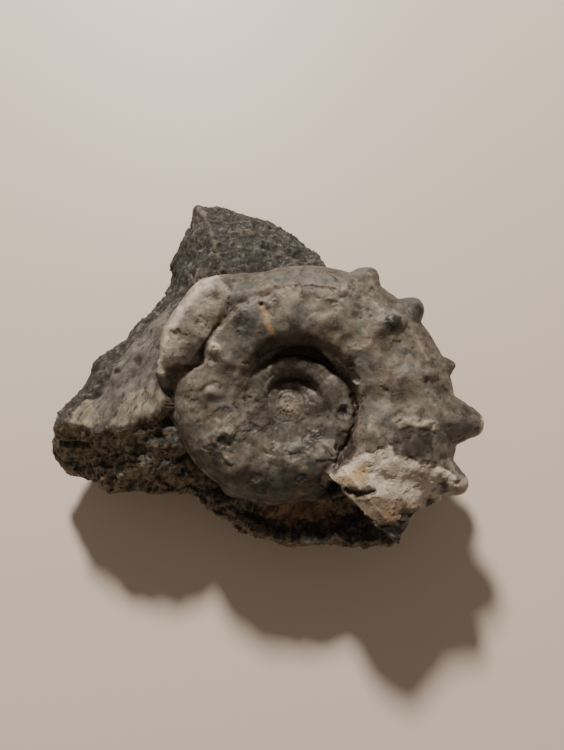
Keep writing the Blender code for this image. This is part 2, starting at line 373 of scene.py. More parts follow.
def thin(obj, triangles):
    """Brings the mesh down to that many triangles, keeping the sharpest detail."""
    now = sum(len(face.vertices) - 2 for face in obj.data.polygons)
    keep_modifier(obj, "DECIMATE", ratio=min(1.0, triangles / now))
    print(f"{obj.name}: {now} triangles thinned to {len(obj.data.polygons)}")


# %% [markdown]
# ## The shell's form
#
# An ammonite's shell is one tube that widens as it coils, each turn lapping over the last.
# Every turn is 2.05 times the size of the one inside it, so a single formula gives the
# radius at any point of the spiral. The section is close to a rounded square, fullest
# towards the inside. It could be swept along a curve with a taper, but the section changes
# shape at the broken end, so rings of points are worked out and skinned instead. These are
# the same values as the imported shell's, with a finer mesh.

# %% The coil's law
COIL_HEIGHT = 17.0  # mm, middle of the coil above the table
COIL_LEAN = 12.3  # degrees, towards -Y
VENTER_RADIUS = 28.4  # mm, coil middle to outer edge, at turn 0
SEAM_RADIUS = 10.7  # mm, coil middle to the seam with the turn inside
HALF_WIDTH = 8.7
TURN_GROWTH = 2.05
WIDTH_GROWTH = 1.7
FIRST_TURN = -4.3
LAST_TURN = 0.139
END_SKEW = 0.036
OUTER_SQUARENESS = 2.3
INNER_SQUARENESS = 2.9
FLANK_BIAS = 1.15
BREAK_SEAM_TURN = 0.122
BREAK_SLOPE = 0.058
BREAK_DROP = 0.07


def coil_matrix():
    """From the shell's own plane, in mm, to the world, in metres."""
    lean = Matrix.Rotation(math.radians(COIL_LEAN), 4, "X")
    return Matrix.Translation((0, 0, COIL_HEIGHT * MM)) @ lean @ Matrix.Scale(MM, 4)


def polar(radius, degrees, height):
    angle = math.radians(degrees)
    return Vector((radius * math.cos(angle), radius * math.sin(angle), height))


def whorl_point(turn, around):
    """A point on the turn's section: around is 0 at the outer edge and pi at the seam."""
    across, up = math.cos(around), math.sin(around)
    power = 2.0 / (OUTER_SQUARENESS if across > 0 else INNER_SQUARENESS)
    across = 0.5 + 0.5 * math.copysign(abs(across) ** power, across)
    across = across**FLANK_BIAS
    up = math.copysign(abs(up) ** power, up)
    skew = END_SKEW * float(fade(-0.05, LAST_TURN, turn)) * (1 - across)
    edge = turn + skew - BREAK_SEAM_TURN + BREAK_SLOPE * across
    peeled = float(fade(-0.012, 0.012, edge))
    seam = SEAM_RADIUS * TURN_GROWTH**turn
    venter = VENTER_RADIUS * TURN_GROWTH**turn
    height = HALF_WIDTH * WIDTH_GROWTH**turn * up * (1 - BREAK_DROP * peeled * (up > 0))
    return polar(seam + across * (venter - seam), -360 * (turn + skew), height)


def loft(bm, rings):
    """Skins a row of closed rings of points and caps both ends."""
    loops = [[bm.verts.new(point) for point in ring] for ring in rings]
    for near, far in zip(loops, loops[1:]):
        for i in range(len(near)):
            j = (i + 1) % len(near)
            bm.faces.new((near[i], near[j], far[j], far[i]))
    bm.faces.new(reversed(loops[0]))
    bm.faces.new(loops[-1])


def circle(sides):
    return [2 * math.pi * k / sides for k in range(sides)]


def add_coil(bm, step=0.013, sides=52):
    turns = np.append(np.arange(FIRST_TURN, LAST_TURN, step), LAST_TURN)
    loft(bm, [[whorl_point(turn, angle) for angle in circle(sides)] for turn in turns])
    return len(turns)


shell_form = bmesh.new()
print("rings in the coil:", add_coil(shell_form))

# %% [markdown]
# ## Spines, knobs and the wall of thick shell
#
# Blunt hollow spines stood in pairs on the outer shoulders, and each has a low knob inward
# of it on the flank. Most have lost their points. On the left a band of thick pale shell
# hugs the coil: it is a stretch of the next turn, which has otherwise broken away.

# %% What stands on the coil
SPINES = (
    # angle, reach, height over the middle plane, base radius, tip radius
    (58.0, 26.9, 3.4, 5.0, 1.5),
    (37.4, 27.9, 3.8, 4.4, 1.6),
    (13.4, 28.5, 3.8, 4.0, 1.0),
    (-6.2, 32.4, 4.0, 4.6, 1.7),
    (-25.4, 32.2, 5.0, 4.2, 1.5),
)
SPINE_OUTLINE = (
    # share of its length, shares of the base radius and of the tip radius
    (0.0, 1.25, 0.0),
    (0.45, 1.0, 0.0),
    (0.66, 0.74, 0.0),
    (0.84, 0.26, 0.70),
    (0.95, 0.0, 0.95),
    (1.0, 0.0, 0.40),
)
SPINE_ROOT = 9.5  # mm that a spine's axis is sunk into the turn
SPINE_RISE = 0.55  # share of its height at which a spine's axis starts
FAR_SPINE_LOSS = 0.8  # mm that the spines of the hidden side are shorter
KNOBS = (
    # angle, distance from the coil's middle, size
    (38.2, 21.0, 1.7),
    (12.6, 22.0, 1.6),
    (-6.0, 21.2, 1.9),
    (63.0, 19.4, 1.7),
    (88.0, 18.0, 1.6),
    (114.0, 16.2, 1.5),
    (144.0, 14.9, 1.4),
    (171.0, 12.8, 1.5),
    (206.0, 12.4, 1.3),
    (232.0, 11.4, 1.2),
)
KNOB_LIFT = 0.81  # share of the half width at which a knob's middle stands
KNOB_SHAPE = (1.6, 1.25, 0.75)  # a knob's size outwards, along the turn and up
HEART_RADIUS = 1.3  # mm, the first chamber
RIDGE = (
    # p, q, w and radius of the pale wall
    (-20.4, 3.4, 2.2, 1.8),
    (-19.2, 6.6, 3.0, 2.6),
    (-17.9, 10.0, 3.8, 3.2),
    (-16.3, 13.2, 4.1, 3.5),
    (-14.1, 16.2, 4.2, 3.5),
    (-11.6, 18.5, 4.1, 3.1),
    (-8.2, 19.9, 3.9, 2.1),
    (-4.8, 21.0, 3.6, 1.4),
    (-1.6, 21.6, 3.3, 1.0),
)
SHELF = (
    # the same for the shelf between that wall and the flank
    (-17.7, 5.9, 4.0, 1.9),
    (-16.8, 8.9, 4.4, 2.7),
    (-14.8, 11.9, 4.5, 2.9),
    (-12.4, 14.4, 4.5, 2.9),
    (-9.6, 16.5, 4.4, 2.7),
    (-6.6, 18.1, 4.2, 2.3),
    (-3.8, 19.3, 3.9, 1.7),
)


def add_spine(bm, root, tip, base_radius, tip_radius, sides=20):
    """A blunt horn with a flared foot."""
    axis = tip - root
    turn = axis.to_track_quat("Z", "Y").to_matrix()
    rings = []
    for share, of_base, of_tip in SPINE_OUTLINE:
        radius = base_radius * of_base + tip_radius * of_tip
        ring = [Vector((radius * math.cos(a), radius * math.sin(a), 0)) for a in circle(sides)]
        rings.append([root + turn @ point + axis * share for point in ring])
    loft(bm, rings)


def add_spines(bm):
    for angle, reach, height, base, tip in SPINES:
        for side in (1, -1):
            out = reach if side > 0 else reach - FAR_SPINE_LOSS
            foot = polar(out - SPINE_ROOT, angle, side * height * SPINE_RISE)
            add_spine(bm, foot, polar(out, angle, side * height), base, tip)


def add_knobs(bm):
    spots = [(0.0, 0.0, 0.0, HEART_RADIUS)]
    for angle, radius, size in KNOBS:
        height = KNOB_LIFT * HALF_WIDTH * WIDTH_GROWTH ** (-angle / 360)
        spots += [(angle, radius, height, size), (angle, radius, -height, size)]
    for angle, radius, height, size in spots:
        place = Matrix.Translation(polar(radius, angle, height))
        place @= Matrix.Rotation(math.radians(angle), 4, "Z")
        place @= Matrix.Diagonal((*(size * share for share in KNOB_SHAPE), 1))
        bmesh.ops.create_icosphere(bm, subdivisions=3, radius=1.0, matrix=place)


def along(path, steps):
    """A smooth row of points through the path's own (Catmull and Rom's formula)."""
    rows = np.array([path[0], *path, path[-1]], float)
    made = []
    for a, b, c, d in zip(rows, rows[1:], rows[2:], rows[3:]):
        for t in np.arange(steps) / steps:
            made.append(
                0.5 * (2 * b + (c - a) * t + (2 * a - 5 * b + 4 * c - d) * t**2
                       + (3 * b - a - 3 * c + d) * t**3)
            )
    return made + [rows[-1]]


def add_tube(bm, path, sides=24):
    """A tube of changing thickness, with rounded ends, along rows of p, q, w and radius."""
    rows = along(path, 6)
    middles = [Vector(row[:3]) for row in rows]
    rings = []
    for i, row in enumerate(rows):
        ahead = middles[min(i + 1, len(rows) - 1)] - middles[max(i - 1, 0)]
        turn = ahead.to_track_quat("Z", "Y").to_matrix()
        spots = [Vector((math.cos(a), math.sin(a), 0)) * row[3] for a in circle(sides)]
        ring = [middles[i] + turn @ spot for spot in spots]
        rings.append(ring)
        if i in (0, len(rows) - 1):
            out = ahead.normalized() * row[3] * (0.6 if i else -0.6)
            cap = [middles[i].lerp(point, 0.5) + out for point in ring]
            rings.insert(0 if i == 0 else len(rings), cap)
    loft(bm, rings)


add_spines(shell_form)
add_knobs(shell_form)
add_tube(shell_form, RIDGE)
add_tube(shell_form, SHELF)
print("points before fusing:", len(shell_form.verts))

# %% [markdown]
# ## One skin
#
# The coil, spines, knobs and wall overlap each other. A Boolean union would join them with
# hard creases, and one failed cut would lose the piece. A voxel remesh turns whatever is
# inside any of them into one even skin, and a little smoothing rounds the joints as growth
# would. The lost corner of the outer end is cut between two such passes.

# %% Fuse, cut the lost corner and fuse again
CHIP = ((17.9, -21.2), (20.2, -17.6), (25.9, -16.0), (34, -13.6), (36, -30), (15, -30))
SHELL_VOXEL = 0.175


def chip_cutter():
    bm = bmesh.new()
    depth = 1.5 * HALF_WIDTH
    corners = [bm.verts.new((p, q, w)) for p, q in CHIP for w in (-depth, depth)]
    bmesh.ops.convex_hull(bm, input=corners)
    bmesh.ops.recalc_face_normals(bm, faces=bm.faces)
    return object_from(bm, "chip_cutter")


def fused_shell():
    bmesh.ops.recalc_face_normals(shell_form, faces=shell_form.faces)
    obj = object_from(shell_form, "ammonite_shell")
    fuse(obj, SHELL_VOXEL * 1.4)
    cutter = chip_cutter()
    keep_modifier(obj, "BOOLEAN", operation="DIFFERENCE", object=cutter, solver="MANIFOLD")
    bpy.data.objects.remove(cutter, do_unlink=True)
    fuse(obj, SHELL_VOXEL, 2)
    return obj


shell = fused_shell()
print("points in the shell's skin:", len(shell.data.vertices))

# %% [markdown]
# ## Where a point is on the shell
#
# Ribs, growth lines and the seam follow the coil, not the page. So each point also gets its
# place on the spiral: which turn it is on, and how far it stands from that turn's seam (0)
# towards its outer edge (1).

# %% Spiral coordinates


def spiral_place(points):
    """Angle in degrees, radius, turn, and share of the way from seam to outer edge."""
    radius = np.hypot(points[:, 0], points[:, 1])
    angle = np.degrees(np.arctan2(points[:, 1], points[:, 0])) % 360
    first = -angle / 360
    turn = np.full(len(points), FIRST_TURN)
    for whole in range(-4, 2):
        here = first + whole
        reached = (SEAM_RADIUS * TURN_GROWTH**here <= radius) & (here < LAST_TURN)
        turn = np.where(reached, here, turn)
    seam = SEAM_RADIUS * TURN_GROWTH**turn
    venter = VENTER_RADIUS * TURN_GROWTH**turn
    return angle, radius, turn, (radius - seam) / (venter - seam)


def degrees_off(angle, centre):
    return (angle - centre + 180) % 360 - 180


points = read_points(shell)
normals = read_points(shell, "normal")
angle, radius, turn, share = spiral_place(points)
print("turns from", round(turn.min(), 2), "to", round(turn.max(), 2))

# %% [markdown]
# ## Relief of the shell
#
# The marks are set down in the order in which they happened: ribs and knobs that grew,
# seams between the turns, then cracks, lost flakes and crumbling. Hardened mud fills the
# middle of the coil, so there the inner turns are lifted and their lower seams melted away,
# while the upper ones stay open as dark gaps. Edges wander because the spots are first
# pushed about by noise. Places are p and q in the shell's plane.

# %% Ribs, seams and the keel
SCALLOPS = ((185, 0.75), (212, 0.25), (236.5, 0.65), (255.5, 0.5), (284, 0.5))  # degrees, mm
INNER_LIFTS = ((1.3, 0.9), (0.7, 1.9), (0.4, 2.6), (0.7, 3.3))  # mm, and from which turn inwards
LIFT_STEP = 0.27  # turns that each lift takes to be complete


def ribs():
    """Broad folds that run from the seam past each knob to its spine."""
    outer = turn > -0.72
    height = np.zeros(len(points))
    for knob_angle, _, _ in KNOBS:
        bend = 4.0 * (share - 0.5) ** 2
        gap = degrees_off(angle, knob_angle + bend)
        height += np.exp(-((gap / 5.2) ** 2)) * outer
    height *= 0.30 * fade(0.10, 0.34, share) * (1 - 0.8 * fade(0.80, 1.0, share))
    fine = np.cos(np.radians(angle * 15)) * (turn < -0.7) * (turn > -2.6)
    return height + fine * 0.022 * radius**0.5 * fade(0.05, 0.3, share)


def seam_lines(angle, radius):
    """1 on the seams between the turns, fading over a tenth of a millimetre or two."""
    lines = np.zeros(len(angle))
    for whole in range(-3, 2):
        here = -angle / 360 + whole
        line = SEAM_RADIUS * TURN_GROWTH**here
        lines += np.exp(-(((radius - line) / (0.06 * line**0.6)) ** 2)) * (here < LAST_TURN - 0.02)
    return lines


def seam_groove():
    """The seam is a sharp dark line on the upper half of the inner turns."""
    open_part = 0.15 + 0.85 * np.exp(-((degrees_off(angle, 65) / 65) ** 2))
    return seam_lines(angle, radius) * 0.030 * radius**0.9 * open_part


def crevice():
    """At its top the last turn's seam is a deep dark gap."""
    line = SEAM_RADIUS * TURN_GROWTH ** (-angle / 360)
    wide = 0.24 + 0.42 * np.exp(-((degrees_off(angle, 78) / 42) ** 2))
    gap = np.exp(-(((radius - line + 0.45) / wide) ** 2))
    return gap * 1.45 * np.exp(-((degrees_off(angle, 75) / 60) ** 2))


def lift_of(place):
    """How much higher the inner turns lie than in a plain coil."""
    return sum(lift * fade(first, first + LIFT_STEP, -place) for lift, first in INNER_LIFTS)


def inner_lift():
    """How far each point is lifted, and 1 where mud hides the seams."""
    inside = radius / (SEAM_RADIUS * TURN_GROWTH**turn) - 1
    outside = 1 - radius / (SEAM_RADIUS * TURN_GROWTH ** (turn + 1))
    outside = np.where(turn + 1 < LAST_TURN, outside, 1.0)
    top = np.exp(-((degrees_off(angle, 75) / 62) ** 4)) * fade(1.4, 2.8, radius)
    trench = (1 - fade(0.03, 0.20, outside + 0.05 * layered(points, 1.6, 2, 37))) * top
    lift = lift_of(turn) * (1 - trench) * (1 - 0.7 * top)
    within = inside < outside
    inner_turn = np.where(within, turn - 1, turn)
    low, high = (HALF_WIDTH * WIDTH_GROWTH**n + lift_of(n) for n in (inner_turn, inner_turn + 1))
    ramp = low + (high - low) * fade(-0.15, 0.30, np.where(within, inside, -outside))
    mud = (1 - fade(0.24, 0.34, np.minimum(inside, outside))) * (1 - top) * (turn < -0.1)
    missing = np.maximum(0.97 * ramp - points[:, 2] - lift, 0)
    return (lift + missing * mud) * upper, mud * upper


def scallops():
    """The keel at the lower left swells where a spine's foot was."""
    swell = sum(reach * np.exp(-((degrees_off(angle, at) / 4.6) ** 2)) for at, reach in SCALLOPS)
    keel = np.exp(-(((points[:, 2] - 1.4) / 1.5) ** 2)) * fade(0.86, 0.98, share)
    band = fade(176, 186, angle) * (1 - fade(292, 300, angle))
    lip = 0.35 * np.exp(-(((points[:, 2] - 1.9) / 0.45) ** 2)) * fade(0.9, 0.98, share)
    return (swell * keel + lip) * band


upper = fade(-0.2, 1.2, points[:, 2])
rib_height = ribs()
groove_depth = seam_groove() + crevice()
lifted, muddy = inner_lift()
keel_swell = scallops()
outward = np.column_stack((points[:, :2] / np.maximum(radius, 0.1)[:, None], np.zeros(len(points))))
print("ribs up to", round(rib_height.max(), 2), "mm, seams down to", round(groove_depth.max(), 2))

# %% Cracks, lost flakes and knobs on the side that shows
WALL_CRACK = (
    (-18.6, 5.9), (-16.1, 5.9), (-14.5, 6.6), (-14.2, 8.6), (-13.6, 9.7), (-12.7, 11.0),
    (-11.8, 12.7), (-10.5, 13.5), (-9.5, 14.8), (-8.2, 16.4), (-6.4, 17.3), (-4.3, 18.2),
    (-2.0, 19.0),
)
TOP_CRACK = ((1.1, 19.0), (3.5, 19.1), (7.4, 18.8))
LENS = (-5.6, 17.3)
WALL_CREST = (
    (-12.8, 18.9), (-14.6, 18.7), (-15.6, 17.1), (-16.9, 15.7), (-18.0, 14.1), (-18.9, 12.8),
    (-19.7, 11.8), (-19.9, 10.2), (-20.1, 8.0), (-21.2, 5.3),
)
WALL_GROOVE = (
    (-18.5, 6.7), (-17.1, 9.9), (-15.1, 12.7), (-12.8, 15.2), (-10.1, 17.2), (-7.0, 19.0),
    (-3.6, 20.3),
)
WALL_FOOT = ((-12.6, 10.0), (-11.2, 12.0), (-9.8, 13.5), (-8.4, 15.0))
BUMP_ARC = ((-14.2, 2.2), (-13.5, 3.1), (-12.4, 3.3), (-11.3, 2.7))
SLAB = [
    (-21.8, 5.0), (-21.0, 8.5), (-20.6, 12.0), (-18.8, 15.2), (-16.8, 18.2), (-14.6, 20.4),
    (-11.4, 21.2), (-9.5, 18.4), (-11.2, 14.4), (-13.7, 9.3), (-17.9, 5.6),
]
FACET = [(-9.7, 20.4), (-5.4, 20.2), (-4.6, 18.9), (-7.2, 16.9), (-9.6, 15.2), (-10.2, 17.4)]
LAST_SEAM = ((10.3, 1.8), (10.9, -0.2), (10.8, -3.1), (9.9, -5.1), (8.6, -7.7), (7.2, -10.9))
STUCK_ROCK = [
    (16.2, -19.3), (13.9, -18.9), (12.3, -17.9), (10.0, -16.2), (10.0, -24.0), (22.0, -24.0),
    (20.0, -17.4), (18.0, -17.5), (16.9, -18.7),
]
LOWER_LIP = [
    (8.6, -14.5), (13.5, -14.5), (17.8, -15.4), (21.0, -16.4), (18.6, -21.5), (14.0, -20.2), (10.4, -16.8),
]
SHOULDER_LINE = (
    (8.6, 18.7), (11.8, 17.5), (14.4, 16.0), (15.2, 15.4), (17.7, 14.4), (18.4, 12.7),
    (21.1, 9.5), (22.3, 7.4),
)
SEAM_RIM = ((5.9, 8.5), (8.0, 7.2), (9.9, 5.2), (11.0, 3.4))
WHITE_CURVE = ((-12.1, -5.8), (-11.1, -7.1), (-10.3, -8.4), (-9.3, -9.4))
WHITE_RIB = ((16.8, -2.5), (18.6, -2.6), (21.1, -3.0), (23.0, -3.4))
LOST_PLATE = [(16.6, -3.8), (22.6, -3.5), (22.9, -8.7), (16.4, -8.3)]
BEIGE_PLATE = [(4.2, -5.9), (7.6, -5.9), (7.7, -9.1), (4.2, -9.0)]
CRYSTAL_BAND = [(7.7, -4.7), (9.9, -4.7), (9.7, -7.9), (7.8, -8.0)]
BREAK = [
    (5.3, -11.6), (7.3, -10.6), (9.9, -8.6), (11.7, -7.8), (13.2, -7.4), (15.0, -6.5),
    (15.8, -6.0), (16.7, -7.9), (18.2, -8.3), (19.9, -8.9), (22.5, -9.2), (24.9, -10.0),
    (26.6, -11.4), (27.4, -14.5), (24.0, -17.0), (20.5, -18.2), (18.2, -22.0), (14.0, -19.4),
    (12.3, -18.4), (10.4, -16.4), (7.0, -14.8), (5.2, -13.2),
]
BREAK_SLOT = ((7.1, -13.3), (8.3, -13.4), (9.8, -14.0), (11.4, -14.1), (13.4, -13.9))
DARK_PIT = (9.0, -1.2)
BURST_KNOB = (-10.9, -5.8)
CREAM_KNOB = (-12.0, 9.1)
CHARCOAL = (-7.2, 12.8)
DARK_KNOB = (16.5, 13.1)
SMOOTH_HILLS = (
    # mm up or down, middle, radii and lean
    (-0.40, (-7.5, 20.3), (3.2, 1.3), 18),
    (0.38, (-12.7, 1.9), (1.4, 1.0)),
    (-0.90, (-18.9, 5.9), (1.3, 0.9)),
    (0.25, (-9.6, -4.6), (1.5, 1.5)),
    (0.55, CREAM_KNOB, (0.85, 0.85)),
    (-0.25, CREAM_KNOB, (0.28, 0.28)),
    (-0.60, (-4.6, 16.2), (0.3, 0.3)),
    (0.35, (13.0, -4.6), (2.4, 3.0)),
    (0.35, (16.2, 12.6), (2.4, 2.0)),
    (0.60, DARK_KNOB, (1.5, 1.4)),
    (0.30, (21.8, 4.9), (1.5, 1.3)),
    (0.25, (-3.2, 6.1), (0.6, 0.5)),
    (0.22, (5.7, 13.7), (2.2, 0.9), 25),
)
RAGGED_HILLS = (
    (-0.22, LENS, (3.0, 0.6), 18),
    (-0.45, DARK_PIT, (0.8, 0.95)),
    (-0.45, BURST_KNOB, (0.9, 1.6), 12),
    (-0.22, CHARCOAL, (2.2, 2.7)),
    (-0.30, (14.6, 11.0), (1.8, 1.2), 40),
    (-0.25, (10.1, 18.2), (0.7, 0.6)),
    (-0.45, (24.6, -13.2), (1.5, 1.3)),
    (-0.55, (22.8, -15.6), (1.3, 1.0)),
    (-0.35, (12.2, -16.2), (3.2, 1.8), -38),
    (-0.20, (18.9, -12.3), (2.2, 0.9), 20),
)
SMOOTH_LINES = ((0.40, WALL_CREST, 1.2), (0.42, WALL_GROOVE, 0.9), (0.45, WALL_FOOT, 0.9))
RAGGED_LINES = (
    # mm up or down, path and width
    (-0.24, LAST_SEAM, 0.22),
    (-0.12, BUMP_ARC, 0.35),
    (-0.15, TOP_CRACK, 0.20),
    (0.10, SHOULDER_LINE, 0.45),
    (0.30, SEAM_RIM, 0.30),
    (0.22, WHITE_CURVE, 0.32),
    (0.05, WHITE_RIB, 0.8),
    (-0.70, BREAK_SLOT, 0.45),
)


def wander(flat, amount):
    """The same spots, pushed about so that edges drawn through them are ragged."""
    push = [layered(points, 1.7, 3, seed) for seed in (21, 31)]
    return flat + amount * np.column_stack(push)


def ring(spots, middle, radius, width):
    return np.exp(-(((np.hypot(*(spots - middle).T) - radius) / width) ** 2))


flat = points[:, :2]
ragged = wander(flat, 0.75)
broken = patch(ragged, BREAK, 0.25) * upper
lost_plate = patch(wander(flat, 0.5), LOST_PLATE, 0.34) * upper
crystals = patch(ragged, CRYSTAL_BAND, 0.3) * upper
beige = patch(wander(flat, 0.3), BEIGE_PLATE, 0.15) * upper
slab = patch(ragged, SLAB, 0.35) * upper


def placed_marks():
    """Everything on the upper side that has one place of its own, in mm up or down."""
    marks = hills(flat, SMOOTH_HILLS) + hills(ragged, RAGGED_HILLS)
    marks += lines(flat, SMOOTH_LINES) + lines(ragged, RAGGED_LINES)
    marks += 0.25 * slab + 0.16 * beige - 0.15 * lost_plate - 0.20 * crystals - 0.25 * broken
    marks += 0.14 * ring(flat, DARK_PIT, 1.3, 0.35) - 0.35 * patch(ragged, FACET, 0.9)
    shallow = 1 - 0.9 * fade(8.0, 12.0, flat[:, 1])
    return (marks - 0.60 * trail(ragged, WALL_CRACK, 0.42) * shallow) * upper


placed = placed_marks()
print("placed marks from", round(placed.min(), 2), "to", round(placed.max(), 2), "mm")

# %% [markdown]
# ## Weathering of the shell
#
# Smooth shell keeps a satin skin with only faint lumps, while the broken end, the old
# turns and the spines are crumbly. One map says how crumbly each point is. Surfaces that
# the rock hides are left plain, so that the thinning pass spends its triangles elsewhere.

# %% Crumbling and the finished relief
CRUMBLE_SPOTS = (
    # how crumbly, middle and radii
    (0.8, (-6.0, 0.7), (1.2, 2.6)),
    (0.7, (-5.0, -3.5), (1.5, 1.0)),
    (0.22, (1.0, -8.5), (5.5, 3.5)),
    (0.5, (10.9, 6.8), (1.6, 1.0)),
    (0.8, (20.0, -2.9), (3.2, 0.8)),
    (0.6, (24.6, -13.2), (2.0, 1.6)),
)
CRISP = 1.3  # mm: a shell point nearer to the rock than this is left plain
MELT_ROUNDS = 40  # how often the mud in the seams is softened


def tree_of(obj, scale=1.0):
    vertices = [vertex.co * scale for vertex in obj.data.vertices]
    return BVHTree.FromPolygons(vertices, [tuple(face.vertices) for face in obj.data.polygons])


def shell_crumble():
    amount = 0.34 * broken + 0.5 * crystals + 0.04
    amount += (0.6 * patch(ragged, STUCK_ROCK, 0.4) + hills(ragged, CRUMBLE_SPOTS)) * upper
    amount += 0.12 * fade(0.93, 1.08, share) * (turn > -0.3)
    wall = distance_to(flat, [row[:2] for row in RIDGE])
    amount += 0.15 * (1 - fade(2.0, 4.0, wall)) * fade(1.5, 3.0, points[:, 2])
    amount += 0.25 * (1 - upper)
    return np.clip(amount, 0, 1)


def near_rock():
    """1 where the rock's seat hides the shell, 0 in the open."""
    tree = tree_of(frame["nodes"]["matrix"])
    place = coil_matrix()
    spots = [place @ Vector(point) for point in points]
    gaps = [tree.find_nearest(spot, 3 * MM)[3] for spot in spots]
    gaps = np.array([3.0 if gap is None else gap / MM for gap in gaps])
    return 1 - fade(CRISP - 0.35, CRISP, gaps)


crumble = shell_crumble()
hidden = near_rock()


def flaked(spots):
    """1 where a thin layer of shell has come off."""
    return fade(0.20, 0.27, layered(spots, 3.6, 4, 91, 0.55))


def shell_weathering():
    broad = 0.26 * layered(points, 5.5, 2, 41) + 0.10 * layered(points, 2.4, 2, 43)
    growth = np.column_stack((turn * 60 + 2.5 * share, share * 1.6, points[:, 2] * 0.2))
    streaks = 0.07 * layered(growth, 1.0, 2, 45)
    skin = 0.06 * layered(points, 1.1, 3, 51)
    shifted = points + 0.4 * np.column_stack([layered(points, 1.0, 2, seed) for seed in (64, 66, 68)])
    rubble = 0.8 * layered(points, 2.8, 4, 61, 0.45) + 0.28 * chips(shifted, 1.9, 63)
    pits = -0.14 * fade(0.22, 0.5, layered(points, 0.9, 2, 71))
    wall = 1 - fade(2.2, 3.6, distance_to(flat, [row[:2] for row in RIDGE]))
    wall_lumps = 0.20 * layered(points, 3.4, 2, 81) * wall * upper
    fine = skin + streaks + (0.52 * rubble + pits) * crumble - 0.10 * flaked(points)
    beads = 0.020 * np.cos(np.radians(angle * 13)) * (1 - fade(1.8, 2.8, radius))
    faint = 0.08 * seam_lines(angle, radius) * fade(0.6, 1.2, radius) * (1 - fade(4.5, 5.8, radius))
    fine += (beads - faint) * upper
    return broad + wall_lumps + fine * (1 - hidden)


points = points + normals * (rib_height - groove_depth * upper + placed * (1 - muddy))[:, None]
points = points + outward * keel_swell[:, None]
points[:, 2] += lifted
melted = np.maximum(muddy, trail(flat, WALL_GROOVE, 1.3) * upper)
points = softened(shell, points, MELT_ROUNDS, melted[:, None])
write_points(shell, points)
normals = read_points(shell, "normal")
weathering = shell_weathering()
points = points + normals * (weathering + placed * muddy)[:, None]
write_points(shell, points)
print("crumbly share:", round(float((crumble > 0.5).mean()), 2))
print("hidden share:", round(float(hidden.mean()), 2))

# %% Thin the shell
SHELL_TRIANGLES = 194_000
thin(shell, SHELL_TRIANGLES)
shell.data.shade_smooth()

# %% [markdown]
# ## Maps for the shell's colours
#
# The shell's colours are patches with a place of their own: pale calcite on the wall, cream where the end
# broke, charcoal and ochre stains, and brown dirt in the cracks with painted shade under each overhang and
# in the gap at the top of the coil. An image texture would need unwrapping. Here each colour gets one
# number for every point, which the material reads by name. Crests and hollows are measured from the
# finished mesh itself.

# %% Crests and hollows


def paint(obj, name, values):
    """Stores one number from 0 to 1 for each point under that name."""
    layer = obj.data.attributes.new(name, "FLOAT", "POINT")
    layer.data.foreach_set("value", np.clip(values, 0, 1).astype(np.float32))


def stands_out(obj, rounds):
    """How far each point stands out of its smoothed surroundings: crests are above 0."""
    spots = read_points(obj)
    proud = spots - softened(obj, spots, rounds)
    return (proud * read_points(obj, "normal")).sum(axis=1)


def paint_wear(obj):
    """The two maps that both stones have: worn crests, and hollows for dirt and painted shade."""
    fine, broad = stands_out(obj, 4), stands_out(obj, 28)
    paint(obj, "crest", fade(0.02, 0.12, fine) * 0.6 + fade(0.06, 0.45, broad) * 0.4)
    # hollows take dirt and painted shade; the broad part stands for ambient shade
    paint(obj, "hollow", fade(0.02, 0.12, -fine) * 0.6 + fade(0.15, 0.7, -broad) * 0.4)
    print(obj.name, "crests to", round(broad.max(), 2), "and hollows to", round(broad.min(), 2), "mm")


paint_wear(shell)

